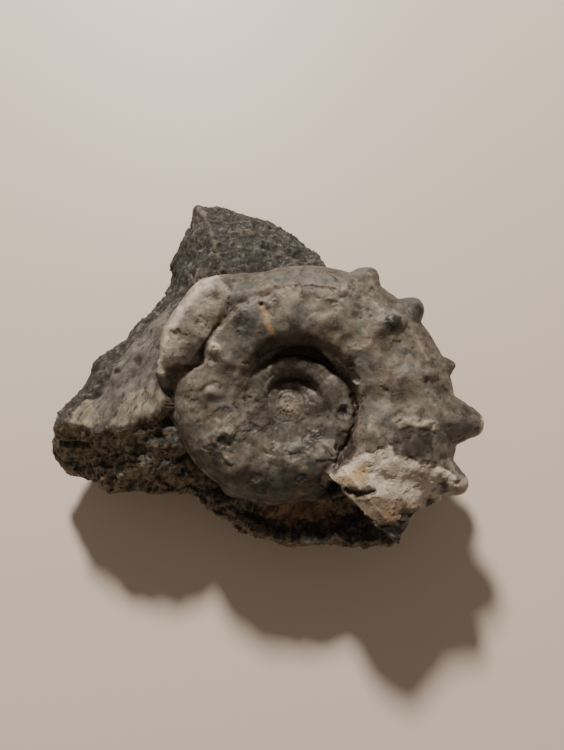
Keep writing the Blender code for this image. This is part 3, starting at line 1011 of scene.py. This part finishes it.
# %% Patches of colour on the shell
OCHRE_RUN = ((-4.9, 16.3), (-3.9, 15.0), (-3.6, 13.2), (-2.7, 11.6))
LIP = ((7.2, -14.4), (9.0, -15.2), (11.4, -17.0), (13.6, -18.6), (16.4, -19.6))
PURPLE_LENS = (4.8, -5.1)
COLOUR_HILLS = {
    # strength, middle, radii and lean
    "grime_and_shade": (
        (1.0, DARK_KNOB, (1.5, 1.4)),
        (0.75, (20.9, 16.4), (1.7, 1.7)),
        (0.9, PURPLE_LENS, (2.3, 0.8), 15),
    ),
    "sand": (
        (0.9, (0.6, -0.4), (2.2, 2.0)),
        (0.9, (-12.7, 1.9), (1.6, 1.2)),
        (0.9, (-0.6, 17.8), (2.0, 1.1), 10),
        (0.9, (5.9, 14.4), (1.0, 2.4), -25),
        (0.9, (13.0, 9.0), (2.5, 1.2), -40),
        (0.9, (19.5, 7.6), (2.5, 1.2), -45),
        (0.9, (20.0, 3.0), (2.0, 1.0)),
        (0.9, (-8.5, -9.0), (2.0, 1.2), -30),
        (0.9, (3.0, -10.5), (3.0, 1.0)),
    ),
    "slate": (
        (0.9, (-9.0, 9.0), (2.0, 2.5), 30),
        (0.9, (6.0, 20.0), (4.0, 1.0)),
        (0.9, (17.5, 6.0), (1.5, 1.5)),
        (0.9, (2.2, 14.5), (1.2, 1.2)),
        (0.9, (13.5, 15.5), (2.5, 1.0), -30),
        (0.9, (-2.0, -12.5), (4.5, 1.5)),
        (0.9, (13.0, -2.0), (2.0, 1.5)),
        (0.9, (28.0, -3.0), (2.2, 2.0)),
    ),
    "pale": (
        (0.6, (-6.0, 0.7), (1.0, 2.4)),
        (0.5, (-5.0, -3.5), (1.5, 0.8)),
        (0.3, (5.5, 20.2), (4.5, 1.1), -2),
        (0.6, (3.4, 16.4), (2.2, 1.6), 5),
        (0.5, (14.0, 16.0), (4.0, 1.2), -35),
        (0.45, (-1.0, -9.0), (4.5, 1.8)),
        (0.45, (20.5, 6.5), (3.0, 1.5), -20),
        (0.5, (13.0, -3.6), (1.6, 1.8)),
    ),
    "cream": (
        (1.6, CREAM_KNOB, (0.85, 0.85)),
        (1.3, (30.2, -13.6), (3.0, 2.6)),
        (0.5, (-11.8, -2.8), (0.8, 1.2), 20),
    ),
    "charcoal": (
        (1.0, CHARCOAL, (2.6, 2.9)),
        (0.8, PURPLE_LENS, (2.3, 0.8), 15),
        (1.7, (16.6, 13.0), (1.4, 1.3)),
        (1.0, DARK_PIT, (0.8, 0.8)),
        (0.9, BURST_KNOB, (0.9, 1.1)),
        (0.8, (24.8, -13.4), (1.2, 1.6)),
        (0.9, (23.0, -15.8), (1.4, 0.8)),
        (0.8, (21.6, 15.8), (1.4, 1.2)),
        (0.6, (-4.0, 16.3), (1.2, 0.5)),
        (0.55, (9.0, -6.4), (0.9, 1.9)),
    ),
    "dirt_and_shade": (
        (0.9, LENS, (3.2, 0.6), 18),
        # painted shadow that the dark knob casts on the flank
        (0.9, (14.4, 11.0), (2.2, 1.3), 40),
        (1.3, (9.3, -8.2), (1.0, 2.2), -35),
        (0.9, (-18.6, 5.6), (2.0, 1.2)),
    ),
    "green": (
        (0.9, (-2.0, -3.6), (1.5, 0.8)),
        (0.9, (0.8, -7.0), (3.0, 1.2)),
        (0.5, (-9.4, -4.4), (1.0, 2.0)),
    ),
    "violet": (
        (1.4, PURPLE_LENS, (2.5, 1.0), 15),
        (0.6, (12.8, 5.0), (2.4, 2.4)),
        (0.6, (12.8, -5.4), (2.2, 2.4)),
        (0.9, (12.6, -13.1), (1.6, 0.7)),
    ),
    "ochre": (
        (0.75, (11.3, -10.9), (2.0, 1.9)),
        (0.75, (8.4, -12.0), (2.4, 0.9)),
        (0.55, (15.8, -17.6), (1.3, 0.9)),
        (0.5, (1.2, 17.6), (1.2, 0.9)),
        (0.5, (30.6, -13.8), (1.0, 1.0)),
    ),
}
COLOUR_LINES = {
    # strength, path and width
    "pale": (
        (0.8, WALL_CREST, 1.0),
        (0.5, SHOULDER_LINE, 0.5),
        (0.8, SEAM_RIM, 0.4),
        (0.8, WHITE_CURVE, 0.4),
    ),
    "cream": ((0.72, WHITE_RIB, 1.1), (0.75, WALL_CREST, 0.9)),
    "tan": ((1.1, LIP, 1.3),),
    "charcoal": ((1.2, BREAK_SLOT, 0.5),),
    # dirt and painted shade in the cracks and seams
    "dirt_and_shade": (
        (0.8, BUMP_ARC, 0.4),
        (1.2, LAST_SEAM, 0.4),
        (1.1, WALL_CRACK, 0.5),
        (0.8, TOP_CRACK, 0.35),
    ),
    "ochre": ((1.1, OCHRE_RUN, 0.45),),
}
COLOUR_PATCHES = {
    # strength, outline and how soft its edge is
    "grime_and_shade": ((0.6, LOST_PLATE, 0.5),),
    "slate": ((1.2, FACET, 0.8),),
    "pale": ((0.95, SLAB, 0.6), (0.8, BEIGE_PLATE, 0.4)),
    "tan": ((1.1, LOWER_LIP, 1.2),),
    "violet": ((1.4, LOST_PLATE, 0.5),),
}


def placed_colour(plane, name):
    """How strong a colour is at each spot, from the three tables."""
    total = hills(plane, COLOUR_HILLS.get(name, ()))
    total += lines(plane, COLOUR_LINES.get(name, ()))
    return total + patches(plane, COLOUR_PATCHES.get(name, ()))


def ragged_mask(mask, spots, size=1.3, amount=0.36, seed=211):
    """The mask with a natural, eaten edge."""
    return fade(0.26, 0.80, mask + amount * layered(spots, size, 4, seed, 0.6)) * fade(0.0, 0.2, mask)


def colour_shell():
    spots = read_points(shell)
    facing = read_points(shell, "normal")
    spin, reach, coil_turn, across = spiral_place(spots)
    plane = spots[:, :2]
    top = fade(0.0, 1.5, spots[:, 2])
    wall = 1 - fade(2.2, 3.4, distance_to(plane, [row[:2] for row in RIDGE]))
    wall *= fade(2.2, 4.5, spots[:, 2])
    end = patch(plane, BREAK, 0.5) * top
    slope = fade(0.0, 0.06, across) * (1 - fade(0.12, 0.26, across)) * (coil_turn > -0.9)
    shaded = np.exp(-((degrees_off(spin, 85) / 62) ** 2))
    keel = np.exp(-(((across - 0.985) / 0.03) ** 2)) * fade(185, 196, spin) * (1 - fade(284, 292, spin))
    inner = 1 - fade(-0.93, -0.86, coil_turn)
    rim = SEAM_RADIUS * TURN_GROWTH ** (-spin / 360)
    gap = np.exp(-(((reach - rim + 0.8) / 0.9) ** 2)) * np.exp(-((degrees_off(spin, 78) / 60) ** 2))
    seams = seam_lines(spin, reach) * fade(0.6, 1.2, reach) * (1 - fade(4.5, 5.8, reach))
    below = fade(0.2, -1.0, spots[:, 2]) * fade(-0.2, 0.3, -facing[:, 1])
    outermost = fade(10.5, 12.5, reach) * fade(205, 230, spin) * (1 - fade(290, 300, spin))
    spread = {
        # grime on the older turns, and painted shade on the faces turned towards +Y
        "grime_and_shade": inner * fade(0.4, 2.4, reach) * (0.62 + 0.4 * fade(0.1, 0.4, facing[:, 1]))
        + 0.6 * fade(0.45, 0.62, -coil_turn) * (1 - inner)
        + (coil_turn > -0.33) * fade(0.25, 0.55, facing[:, 1]) * (1 - end),
        "sand": 0.85 * fade(0.12, 0.38, layered(spots, 4.5, 3, 95)) * (1 - inner),
        "slate": 0.85 * fade(0.12, 0.38, layered(spots, 4.2, 3, 97)) * (1 - inner),
        "pale": 0.8 * keel,
        "cream": end + 0.9 * fade(31.0, 31.9, reach) * top,
        "tan": 0,
        "charcoal": 1.3 * patch(plane, STUCK_ROCK, 0.3),
        # painted shade on the slope at the top of the coil, in the gap under the top seam and on the
        # undersides facing -Y; dirt in the seams
        "dirt_and_shade": (0.80 * slope * shaded + 1.3 * gap + 0.45 * seams) * top + 0.5 * below,
        "green": 0,
        "violet": 0.45 * flaked(spots) * (1 - inner) + 0.5 * outermost,
        "ochre": 0,
    }
    for number, (name, mask) in enumerate(spread.items()):
        mask = mask + placed_colour(plane, name) * top
        paint(shell, name, ragged_mask(mask, spots, seed=211 + 9 * number))
    paint(shell, "crumbly", ragged_mask(0.8 * end + 0.5 * wall, spots, 0.9, seed=301))
    return list(spread)


print("colour maps:", ", ".join(colour_shell()))
shell.data.transform(coil_matrix())

# %% [markdown]
# ## The rock
#
# The mudstone broke along its bedding, so it has a flat sloping back, a steep granular
# front and a ledge that held the lost outer turn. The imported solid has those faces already.
# A copy of it is remeshed finely. Its seat was cut slightly too wide, so that the solids
# don't touch; here it is closed onto the shell, as the stone set around it.

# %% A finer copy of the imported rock
ROCK_VOXEL = 0.27
SEAT_GAP = 0.65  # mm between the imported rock's seat and the shell


def copy_of_rock():
    source = frame["nodes"]["matrix"]
    rock = link(bpy.data.objects.new("rock_matrix", source.data.copy()))
    rock.data.materials.clear()
    rock.data.transform(Matrix.Scale(1 / MM, 4))
    fuse(rock, ROCK_VOXEL, 3)
    return rock


rock = copy_of_rock()
rock_points = read_points(rock)
print("points in the rock's skin:", len(rock_points))

# %% Close the seat onto the shell
SINK = 0.25  # mm that the rock's seat goes into the shell


def close_seat(spots):
    """Moves the seat's skin onto the shell, and a little way in."""
    tree = tree_of(shell, 1 / MM)
    moved = spots.copy()
    gap = np.full(len(spots), 9.0)
    for i, spot in enumerate(spots):
        hit, normal, _, distance = tree.find_nearest(Vector(spot), 3.0)
        if hit is None:
            continue
        gap[i] = distance
        pull = float(1 - fade(SEAT_GAP * 1.5, SEAT_GAP * 3.4, distance))
        if pull:
            goal = np.array(hit) - np.array(normal) * SINK
            moved[i] += (goal - spot) * pull
    return moved, gap


rock_points, shell_gap = close_seat(rock_points)
write_points(rock, rock_points)
print("rock points near the shell:", int((shell_gap < SEAT_GAP * 2).sum()))

# %% Relief of the rock
SMOOTH_BACK = [
    (-29.0, 9.0), (-25.0, 15.5), (-21.5, 19.0), (-19.5, 12.0), (-20.0, 3.0), (-22.0, -3.0),
    (-27.5, -4.6), (-32.5, -4.6), (-37.8, -3.2), (-34.5, 0.5), (-31.5, 3.0),
]
STEP_EDGE = ((-38.0, -3.4), (-36.0, -3.9), (-32.9, -4.7), (-29.3, -5.0), (-24.7, -5.4))
LEDGE_RIM = (
    (-14.6, -14.3), (-8.4, -18.8), (-1.6, -22.2), (4.0, -22.4), (9.0, -22.0), (13.0, -22.8),
    (17.6, -23.0),
)
HORN_CREST = ((-17.2, 38.5), (-14.5, 33.0), (-13.0, 27.0), (-11.6, 23.0))
CORNER_CRACK = ((-43.0, -6.0, 12.6), (-39.7, -6.4, 14.9), (-36.4, -6.9, 16.4), (-34.0, -7.0, 17.4))
CLEAVAGE = 23.0  # degrees off +Y, the way the back's streaks run
ROCK_HOLLOWS = (
    # mm down, middle, radii and lean
    (1.0, (0.8, 27.9), (2.4, 1.2), -35),
    (0.8, (-3.6, 28.6), (1.7, 1.0), -20),
    (0.5, (-9.0, 29.4), (1.3, 0.9)),
    (0.45, (-26.0, 7.2), (0.8, 1.0)),
    (0.5, (-29.3, 5.4), (0.7, 0.6)),
    (0.45, (-33.4, 1.2), (1.5, 0.6), 20),
    (0.3, (-23.9, 1.2), (0.4, 0.4)),
    (0.7, (-24.0, -4.4), (1.5, 1.0)),
    (0.9, (-21.6, -5.6), (1.2, 1.6), 20),
)


def rock_relief(spots, facing):
    flat_spots = spots[:, :2]
    push = np.column_stack([layered(spots, 2.4, 3, seed) for seed in (121, 131)])
    loose = flat_spots + 1.0 * push
    back = patch(loose, SMOOTH_BACK, 0.8) * fade(0.35, 0.7, facing[:, 2])
    front = fade(0.15, 0.5, -facing[:, 1]) * (1 - back)
    turn_angle = math.radians(CLEAVAGE)
    run = spots[:, 0] * math.sin(turn_angle) + spots[:, 1] * math.cos(turn_angle)
    cross = spots[:, 0] * math.cos(turn_angle) - spots[:, 1] * math.sin(turn_angle)
    bedded = np.column_stack((run * 0.22, cross, spots[:, 2] * 0.8))
    streaks = layered(bedded, 1.5, 3, 141)
    broad = 0.55 * layered(spots, 5.0, 2, 151)
    pushed = spots + 0.9 * np.column_stack((push, push[:, 0]))
    facets = 1.5 * chips(pushed, 4.4, 163) + 0.7 * chips(pushed, 2.1, 165)
    rubble = 0.75 * facets + 0.40 * layered(spots, 2.8, 4, 161, 0.5)
    grit = 0.16 * chips(spots, 0.9, 166) + 0.14 * layered(spots, 0.7, 2, 167)
    ledge = mound(loose, (2.0, -18.4), (10.0, 2.6)) * fade(6, 9, spots[:, 2])
    rough = 0.36 * (1 - 0.7 * ledge)
    fibres = np.column_stack((spots[:, 0] * 0.30 + spots[:, 2] * 0.2, spots[:, 1], spots[:, 2]))
    height = broad * (1 - 0.7 * back) * (1 - 0.5 * front) + rubble * rough * (1 - 0.88 * back)
    height += grit * (1 - 0.75 * back) + 0.30 * streaks * (1 - front) * (1 - 0.6 * back)
    height += 0.34 * layered(fibres, 1.3, 3, 171) * front
    height -= 0.9 * np.exp(-((distance_to(spots, CORNER_CRACK) / 0.5) ** 2))
    height += 0.35 * trail(loose, STEP_EDGE, 0.6) * fade(0.2, 0.5, facing[:, 2])
    height += 0.45 * trail(loose, LEDGE_RIM, 1.0) * fade(6, 9, spots[:, 2])
    height += 0.50 * trail(loose, HORN_CREST, 0.7) * fade(12, 15, spots[:, 2])
    height -= 0.50 * ledge
    return height - hills(loose, ROCK_HOLLOWS) * fade(8, 12, spots[:, 2])


rock_normals = read_points(rock, "normal")
rock_height = rock_relief(rock_points, rock_normals)
seated = 1 - fade(0.3, 1.4, shell_gap)
resting = 1 - fade(0.05, 1.2, rock_points[:, 2])
rock_height *= (1 - seated) * (1 - resting)
rock_points = rock_points + rock_normals * rock_height[:, None]
rock_points[:, 2] = np.maximum(rock_points[:, 2], 0.0)
write_points(rock, rock_points)
print("rock relief from", round(rock_height.min(), 2), "to", round(rock_height.max(), 2), "mm")

# %% Thin the rock
ROCK_TRIANGLES = 190_000
thin(rock, ROCK_TRIANGLES)
rock.data.shade_smooth()
paint_wear(rock)

# %% Patches of colour on the rock
CALCITE_TRIANGLE = [(-37.8, -3.2), (-34.6, 0.9), (-32.4, -0.8), (-31.3, -3.8), (-33.2, -4.9)]
DARK_EDGE = ((-37.0, 3.0), (-34.5, 6.5), (-31.0, 11.5), (-27.5, 17.5), (-24.5, 23.0), (-22.0, 30.0))
CALCITE_SHEET = [
    (-29.8, -4.2), (-27.4, 0.6), (-22.6, 2.6), (-20.6, 0.4), (-22.6, -3.4), (-25.6, -4.6),
]
ROCK_COLOUR_HILLS = {
    # strength, middle and radii, on the upper faces alone
    "pale": ((0.7, (-16.9, 36.0), (1.3, 2.0)), (0.6, (-15.3, 33.4), (0.8, 0.9))),
    "cream": ((0.6, (17.0, -21.6), (1.0, 0.8)), (0.8, (-13.4, -12.3), (0.8, 0.7))),
    "rust": (
        (0.6, (-15.8, -9.4), (1.8, 2.6)),
        (0.5, (-23.4, 26.0), (1.5, 2.0)),
        (0.6, (-6.8, 32.5), (1.2, 0.6)),
        (0.5, (-4.4, 31.6), (1.0, 0.4)),
    ),
}


def colour_rock():
    spots = read_points(rock)
    facing = read_points(rock, "normal")
    plane = spots[:, :2]
    high = fade(8, 12, spots[:, 2])
    up = fade(0.3, 0.7, facing[:, 2])
    back = patch(plane, SMOOTH_BACK, 0.8) * up * fade(-5.4, -4.2, spots[:, 1])
    high_lying = {name: hills(plane, rows) * high for name, rows in ROCK_COLOUR_HILLS.items()}
    dark = sum(0.9 * mound(plane, *row) for _, *row in ROCK_HOLLOWS) * high
    masks = {
        "pale": 0.85 * back
        + 0.5 * trail(plane, HORN_CREST, 0.6) * high
        + high_lying["pale"]
        + 0.5 * mound(plane, (-38.6, -8.4), (1.6, 1.0)),
        "cream": patches(plane, ((1, CALCITE_TRIANGLE, 0.5), (0.9, CALCITE_SHEET, 0.9))) * up
        + high_lying["cream"],
        "rust": 0.8 * mound(plane, (2.0, -17.6), (7.5, 3.0)) * fade(6, 9, spots[:, 2])
        + high_lying["rust"],
        "umber": 1.2 * fade(0.15, 0.5, -facing[:, 1]) * (1 - back),
        "charcoal": dark
        + 0.75 * trail(plane, DARK_EDGE, 1.8) * up
        + 0.6 * mound(plane, (-21.0, 30.0), (3.0, 7.0), -25),
    }
    for number, (name, mask) in enumerate(masks.items()):
        paint(rock, name, ragged_mask(mask, spots, 1.6, 0.5, seed=401 + 9 * number))
    return list(masks)


print("colour maps:", ", ".join(colour_rock()))
rock.data.transform(Matrix.Scale(MM, 4))

# %% [markdown]
# ## Stone materials
#
# Both stones share their fine marks: a mottled tone, dark specks, light crystals, dirt with painted shade
# in the hollows and pale wear on the crests. Each of these is a node group that both materials use with
# their own values. The groups give out only colours, masks and heights, and each material keeps its own
# Principled shader.

# %% Small helpers for node trees


def add_node(tree, kind, inputs=(), **settings):
    """Adds a node; inputs are pairs of a socket and a value or another node's output."""
    node = tree.nodes.new(kind)
    for name, value in settings.items():
        setattr(node, name, value)
    for socket, value in dict(inputs).items():
        if isinstance(value, bpy.types.NodeSocket):
            tree.links.new(value, node.inputs[socket])
        else:
            node.inputs[socket].default_value = value
    return node


def noise(tree, vector, size, detail=3.0, roughness=0.55, distortion=0.0):
    """Noise from 0 to 1 with lumps of that many mm; vector is in mm."""
    inputs = {"Vector": vector, "Scale": 1 / size, "Detail": detail, "Roughness": roughness,
              "Distortion": distortion}
    return add_node(tree, "ShaderNodeTexNoise", inputs).outputs["Fac"]


def sharpen(tree, value, low, high, bottom=0.0, top=1.0):
    """0 up to low and 1 from high on, or bottom and top."""
    inputs = {"Value": value, "From Min": low, "From Max": high, "To Min": bottom, "To Max": top}
    return add_node(tree, "ShaderNodeMapRange", inputs).outputs["Result"]


def mix(tree, factor, first, second, how="MIX"):
    """Colour mix: all first at factor 0, all second at 1."""
    inputs = {0: factor, 6: first, 7: second}
    node = add_node(tree, "ShaderNodeMix", inputs, data_type="RGBA", blend_type=how)
    return node.outputs[2]


def times(tree, first, second):
    return add_node(tree, "ShaderNodeMath", {0: first, 1: second}, operation="MULTIPLY").outputs[0]


def plus(tree, first, second):
    return add_node(tree, "ShaderNodeMath", {0: first, 1: second}, operation="ADD").outputs[0]


def millimetres(tree):
    """Places in the object's own space, in mm."""
    spot = add_node(tree, "ShaderNodeTexCoord").outputs["Object"]
    inputs = {0: spot, 3: 1 / MM}
    return add_node(tree, "ShaderNodeVectorMath", inputs, operation="SCALE").outputs[0]


def new_group(name, inputs, outputs):
    """An empty node group, its input sockets by name and its output node."""
    group = bpy.data.node_groups.new(name, "ShaderNodeTree")
    for socket, kind, value in inputs:
        made = group.interface.new_socket(socket, in_out="INPUT", socket_type=kind)
        made.default_value = value
    for socket, kind in outputs:
        group.interface.new_socket(socket, in_out="OUTPUT", socket_type=kind)
    return group, group.nodes.new("NodeGroupInput").outputs, group.nodes.new("NodeGroupOutput").inputs


NUMBER, COLOUR, VECTOR = "NodeSocketFloat", "NodeSocketColor", "NodeSocketVector"

# %% Grain: mottling, specks and crystals


def grain_group():
    """Marks of stone at a chosen size: tone, dark specks, light crystals and a height."""
    inputs = (("Vector", VECTOR, (0, 0, 0)), ("Size", NUMBER, 1.0))
    names = ("Tone", "Specks", "Crystals", "Stain", "Bloom", "Height")
    outputs = [(name, NUMBER) for name in names]
    group, given, result = new_group("stone_grain", inputs, outputs)
    shrink = add_node(group, "ShaderNodeMath", {0: 1.0, 1: given["Size"]}, operation="DIVIDE")
    scaled = {0: given["Vector"], 3: shrink.outputs[0]}
    spot = add_node(group, "ShaderNodeVectorMath", scaled, operation="SCALE").outputs[0]
    tone = noise(group, spot, 3.4, 5.0, 0.62, 0.4)
    fine = noise(group, spot, 0.42, 3.0, 0.6)
    specks = sharpen(group, noise(group, spot, 0.55, 2.0, 0.5, 0.6), 0.60, 0.70)
    crystals = sharpen(group, noise(group, spot, 0.30, 1.0, 0.5), 0.68, 0.76)
    stain = sharpen(group, noise(group, spot, 2.6, 5.0, 0.66, 0.9), 0.53, 0.63)
    moved = add_node(group, "ShaderNodeVectorMath", {0: spot, 1: (31, 17, 5)}, operation="ADD")
    bloom = sharpen(group, noise(group, moved.outputs[0], 3.3, 5.0, 0.62, 0.7), 0.53, 0.68)
    height = plus(group, times(group, fine, 0.7), times(group, specks, -0.35))
    values = (sharpen(group, tone, 0.34, 0.66), specks, crystals, stain, bloom, height)
    for name, value in zip(names, values):
        group.links.new(value, result[name])
    return group


def tint_group(name, low, high):
    """Tints a colour where a mask is high: used for dirt and painted shade in hollows and wear on crests.
    """
    inputs = (("Color", COLOUR, (0.5, 0.5, 0.5, 1)), ("Mask", NUMBER, 0.0),
              ("Tint", COLOUR, (0.1, 0.08, 0.06, 1)), ("Amount", NUMBER, 1.0))
    group, given, result = new_group(name, inputs, (("Color", COLOUR),))
    strength = times(group, sharpen(group, given["Mask"], low, high), given["Amount"])
    group.links.new(mix(group, strength, given["Color"], given["Tint"]), result["Color"])
    return group


GRAIN = grain_group()
DIRT_AND_SHADE_IN_HOLLOWS = tint_group("dirt_and_shade_in_hollows", 0.10, 0.85)
WEAR_ON_CRESTS = tint_group("wear_on_crests", 0.15, 0.90)
print("node groups:", ", ".join(sorted(group.name for group in bpy.data.node_groups)))

# %% [markdown]
# ## The shell's material
#
# Fossil calcite is a warm grey brown with a dull satin shine. The paler and darker patches are laid over
# it one by one, from the oldest to the youngest, as glazes would be; the dark brown one is partly dirt in
# the cracks and partly painted shade under the overhangs. A film comes last that is grime in the middle of
# the coil and painted shade on the faces turned towards the back. The shine is lost where the stone is
# crumbly, and the finest relief is a bump, because it is smaller than the mesh's own triangles.

# %% Shell calcite
BROWN_DARK = (0.070, 0.061, 0.049, 1)
BROWN_LIGHT = (0.250, 0.236, 0.202, 1)
BROWN_STAIN = (0.044, 0.031, 0.021, 1)
GREY_BLOOM = (0.300, 0.292, 0.262, 1)
SHELL_COLOURS = (
    # map, colour in its shaded mottling, colour in its light mottling, strength
    ("sand", (0.120, 0.098, 0.072, 1), (0.320, 0.275, 0.210, 1), 0.75),
    ("slate", (0.060, 0.062, 0.058, 1), (0.205, 0.208, 0.192, 1), 0.75),
    ("pale", (0.125, 0.113, 0.098, 1), (0.490, 0.458, 0.405, 1), 0.78),
    ("violet", (0.062, 0.054, 0.049, 1), (0.160, 0.143, 0.131, 1), 0.88),
    ("green", (0.060, 0.066, 0.056, 1), (0.175, 0.186, 0.162, 1), 0.75),
    ("cream", (0.400, 0.360, 0.290, 1), (0.740, 0.700, 0.610, 1), 0.95),
    ("tan", (0.130, 0.095, 0.063, 1), (0.330, 0.255, 0.180, 1), 0.92),
    ("ochre", (0.300, 0.185, 0.075, 1), (0.500, 0.350, 0.170, 1), 0.75),
    ("charcoal", (0.024, 0.024, 0.023, 1), (0.075, 0.075, 0.072, 1), 0.90),
    # dark brown for dirt in the cracks and for painted shade under the overhangs and in the top gap
    ("dirt_and_shade", (0.022, 0.015, 0.010, 1), (0.100, 0.070, 0.046, 1), 0.88),
)
# multiplied in last: grime, and painted shade on faces turned towards +Y
GRIME_AND_SHADE = (0.42, 0.42, 0.41, 1)


def stored(tree, name):
    """A map that was painted on the mesh."""
    return add_node(tree, "ShaderNodeAttribute", attribute_name=name).outputs["Fac"]


def use_group(tree, group, inputs):
    return add_node(tree, "ShaderNodeGroup", inputs, node_tree=group).outputs


def new_material(name, obj):
    material = bpy.data.materials.new(name)
    material.use_nodes = True
    obj.data.materials.clear()
    obj.data.materials.append(material)
    return material.node_tree, material.node_tree.nodes["Principled BSDF"]


def glazed(tree, grain, colour, patches):
    """The colour with each patch laid over it in order."""
    for name, deep, bright, strength in patches:
        glaze = mix(tree, grain["Tone"], deep, bright)
        colour = mix(tree, times(tree, stored(tree, name), strength), colour, glaze)
    return colour


def worn_stone(tree, grain, colour, dirt_and_shade, wear, amounts):
    """Specks, crystals, dirt and painted shade in the hollows, and wear over a colour; amounts are the
    strength of each.
    """
    specks, crystals, in_hollows, on_crests = amounts
    colour = mix(tree, times(tree, grain["Specks"], specks), colour, dirt_and_shade)
    colour = mix(tree, times(tree, grain["Crystals"], crystals), colour, wear)
    # dirt and painted shade in the hollows
    facts = {"Color": colour, "Mask": stored(tree, "hollow"), "Tint": dirt_and_shade, "Amount": in_hollows}
    colour = use_group(tree, DIRT_AND_SHADE_IN_HOLLOWS, facts)["Color"]
    facts = {"Color": colour, "Mask": stored(tree, "crest"), "Tint": wear, "Amount": on_crests}
    return use_group(tree, WEAR_ON_CRESTS, facts)["Color"]


def shell_material():
    tree, shader = new_material("shell_calcite_finish", shell)
    spot = millimetres(tree)
    grain = use_group(tree, GRAIN, {"Vector": spot, "Size": 0.8})
    colour = mix(tree, grain["Tone"], BROWN_DARK, BROWN_LIGHT)
    colour = mix(tree, times(tree, grain["Bloom"], 0.55), colour, GREY_BLOOM)
    colour = mix(tree, times(tree, grain["Stain"], 0.60), colour, BROWN_STAIN)
    colour = glazed(tree, grain, colour, SHELL_COLOURS)
    # the dark tint serves the specks, and dirt and painted shade in the hollows
    dirt_and_shade, wear = (0.030, 0.021, 0.015, 1), (0.38, 0.345, 0.295, 1)
    colour = worn_stone(tree, grain, colour, dirt_and_shade, wear, (0.45, 0.30, 0.80, 0.35))
    # grime and painted shade darken the colour last
    colour = mix(tree, stored(tree, "grime_and_shade"), colour, GRIME_AND_SHADE, "MULTIPLY")
    tree.links.new(colour, shader.inputs["Base Color"])
    dull = plus(tree, times(tree, stored(tree, "crumbly"), 0.30), times(tree, grain["Tone"], 0.12))
    tree.links.new(plus(tree, dull, 0.50), shader.inputs["Roughness"])
    depth = times(tree, grain["Height"], plus(tree, times(tree, stored(tree, "crumbly"), 0.9), 0.35))
    bump = add_node(tree, "ShaderNodeBump", {"Height": depth, "Strength": 1.0, "Distance": 0.10 * MM})
    tree.links.new(bump.outputs["Normal"], shader.inputs["Normal"])


shell_material()
print("shell patches:", len(SHELL_COLOURS))

# %% [markdown]
# ## The rock's material
#
# The mudstone is nearly black where it is freshly broken and ash grey where it is worn. A
# skin of pale calcite clings to its smooth back and turns cream at its lower edge. Iron has
# stained the ledge red brown. It takes the same node groups as the shell, with a finer
# grain and hardly any shine.

# %% Mudstone
ROCK_DARK = (0.012, 0.0118, 0.011, 1)
ROCK_LIGHT = (0.045, 0.045, 0.041, 1)
ASH_BLOOM = (0.210, 0.208, 0.190, 1)
ROCK_COLOURS = (
    ("umber", (0.064, 0.050, 0.035, 1), (0.420, 0.350, 0.245, 1), 0.9),
    ("pale", (0.060, 0.057, 0.052, 1), (0.185, 0.177, 0.160, 1), 0.85),
    ("cream", (0.120, 0.108, 0.082, 1), (0.350, 0.318, 0.250, 1), 0.95),
    ("rust", (0.120, 0.070, 0.042, 1), (0.350, 0.205, 0.122, 1), 0.85),
    ("charcoal", (0.010, 0.008, 0.007, 1), (0.050, 0.042, 0.034, 1), 0.85),
)
STREAK_LENGTH = 2.6  # how many times longer a cleavage streak is than wide


def rock_material():
    tree, shader = new_material("mudstone_finish", rock)
    spot = millimetres(tree)
    grain = use_group(tree, GRAIN, {"Vector": spot, "Size": 0.38})
    along_cleavage = {
        "Vector": spot,
        "Rotation": (0, 0, -math.radians(CLEAVAGE)),
        "Scale": (1, STREAK_LENGTH, 1.4),
    }
    stretched = add_node(tree, "ShaderNodeMapping", along_cleavage, vector_type="TEXTURE")
    streaks = use_group(tree, GRAIN, {"Vector": stretched.outputs[0], "Size": 0.36})
    colour = mix(tree, streaks["Tone"], ROCK_DARK, ROCK_LIGHT)
    colour = mix(tree, times(tree, grain["Bloom"], 0.75), colour, ASH_BLOOM)
    colour = glazed(tree, streaks, colour, ROCK_COLOURS)
    colour = mix(tree, times(tree, streaks["Stain"], 0.70), colour, ROCK_DARK)
    # the dark tint serves the specks, and dirt and painted shade in the hollows
    dirt_and_shade, wear = (0.012, 0.009, 0.007, 1), (0.19, 0.17, 0.135, 1)
    colour = worn_stone(tree, grain, colour, dirt_and_shade, wear, (0.60, 0.50, 0.70, 0.22))
    tree.links.new(colour, shader.inputs["Base Color"])
    tree.links.new(sharpen(tree, grain["Tone"], 0, 1, 0.92, 0.72), shader.inputs["Roughness"])
    inputs = {"Height": grain["Height"], "Strength": 1.0, "Distance": 0.16 * MM}
    bump = add_node(tree, "ShaderNodeBump", inputs)
    tree.links.new(bump.outputs["Normal"], shader.inputs["Normal"])


rock_material()
print("rock patches:", len(ROCK_COLOURS))

# %% Ride and replace
for piece, node_name, slot_name in ((shell, "ammonite", "shell_calcite"), (rock, "matrix", "dark_matrix")):
    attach(piece, "root")
    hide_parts(node_name)

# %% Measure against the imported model
VISUAL_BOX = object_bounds()
for name, (low, high) in (("cad", CAD_BOX), ("visual", VISUAL_BOX)):
    print(name, [round(value / MM, 2) for value in (*low, *high)])
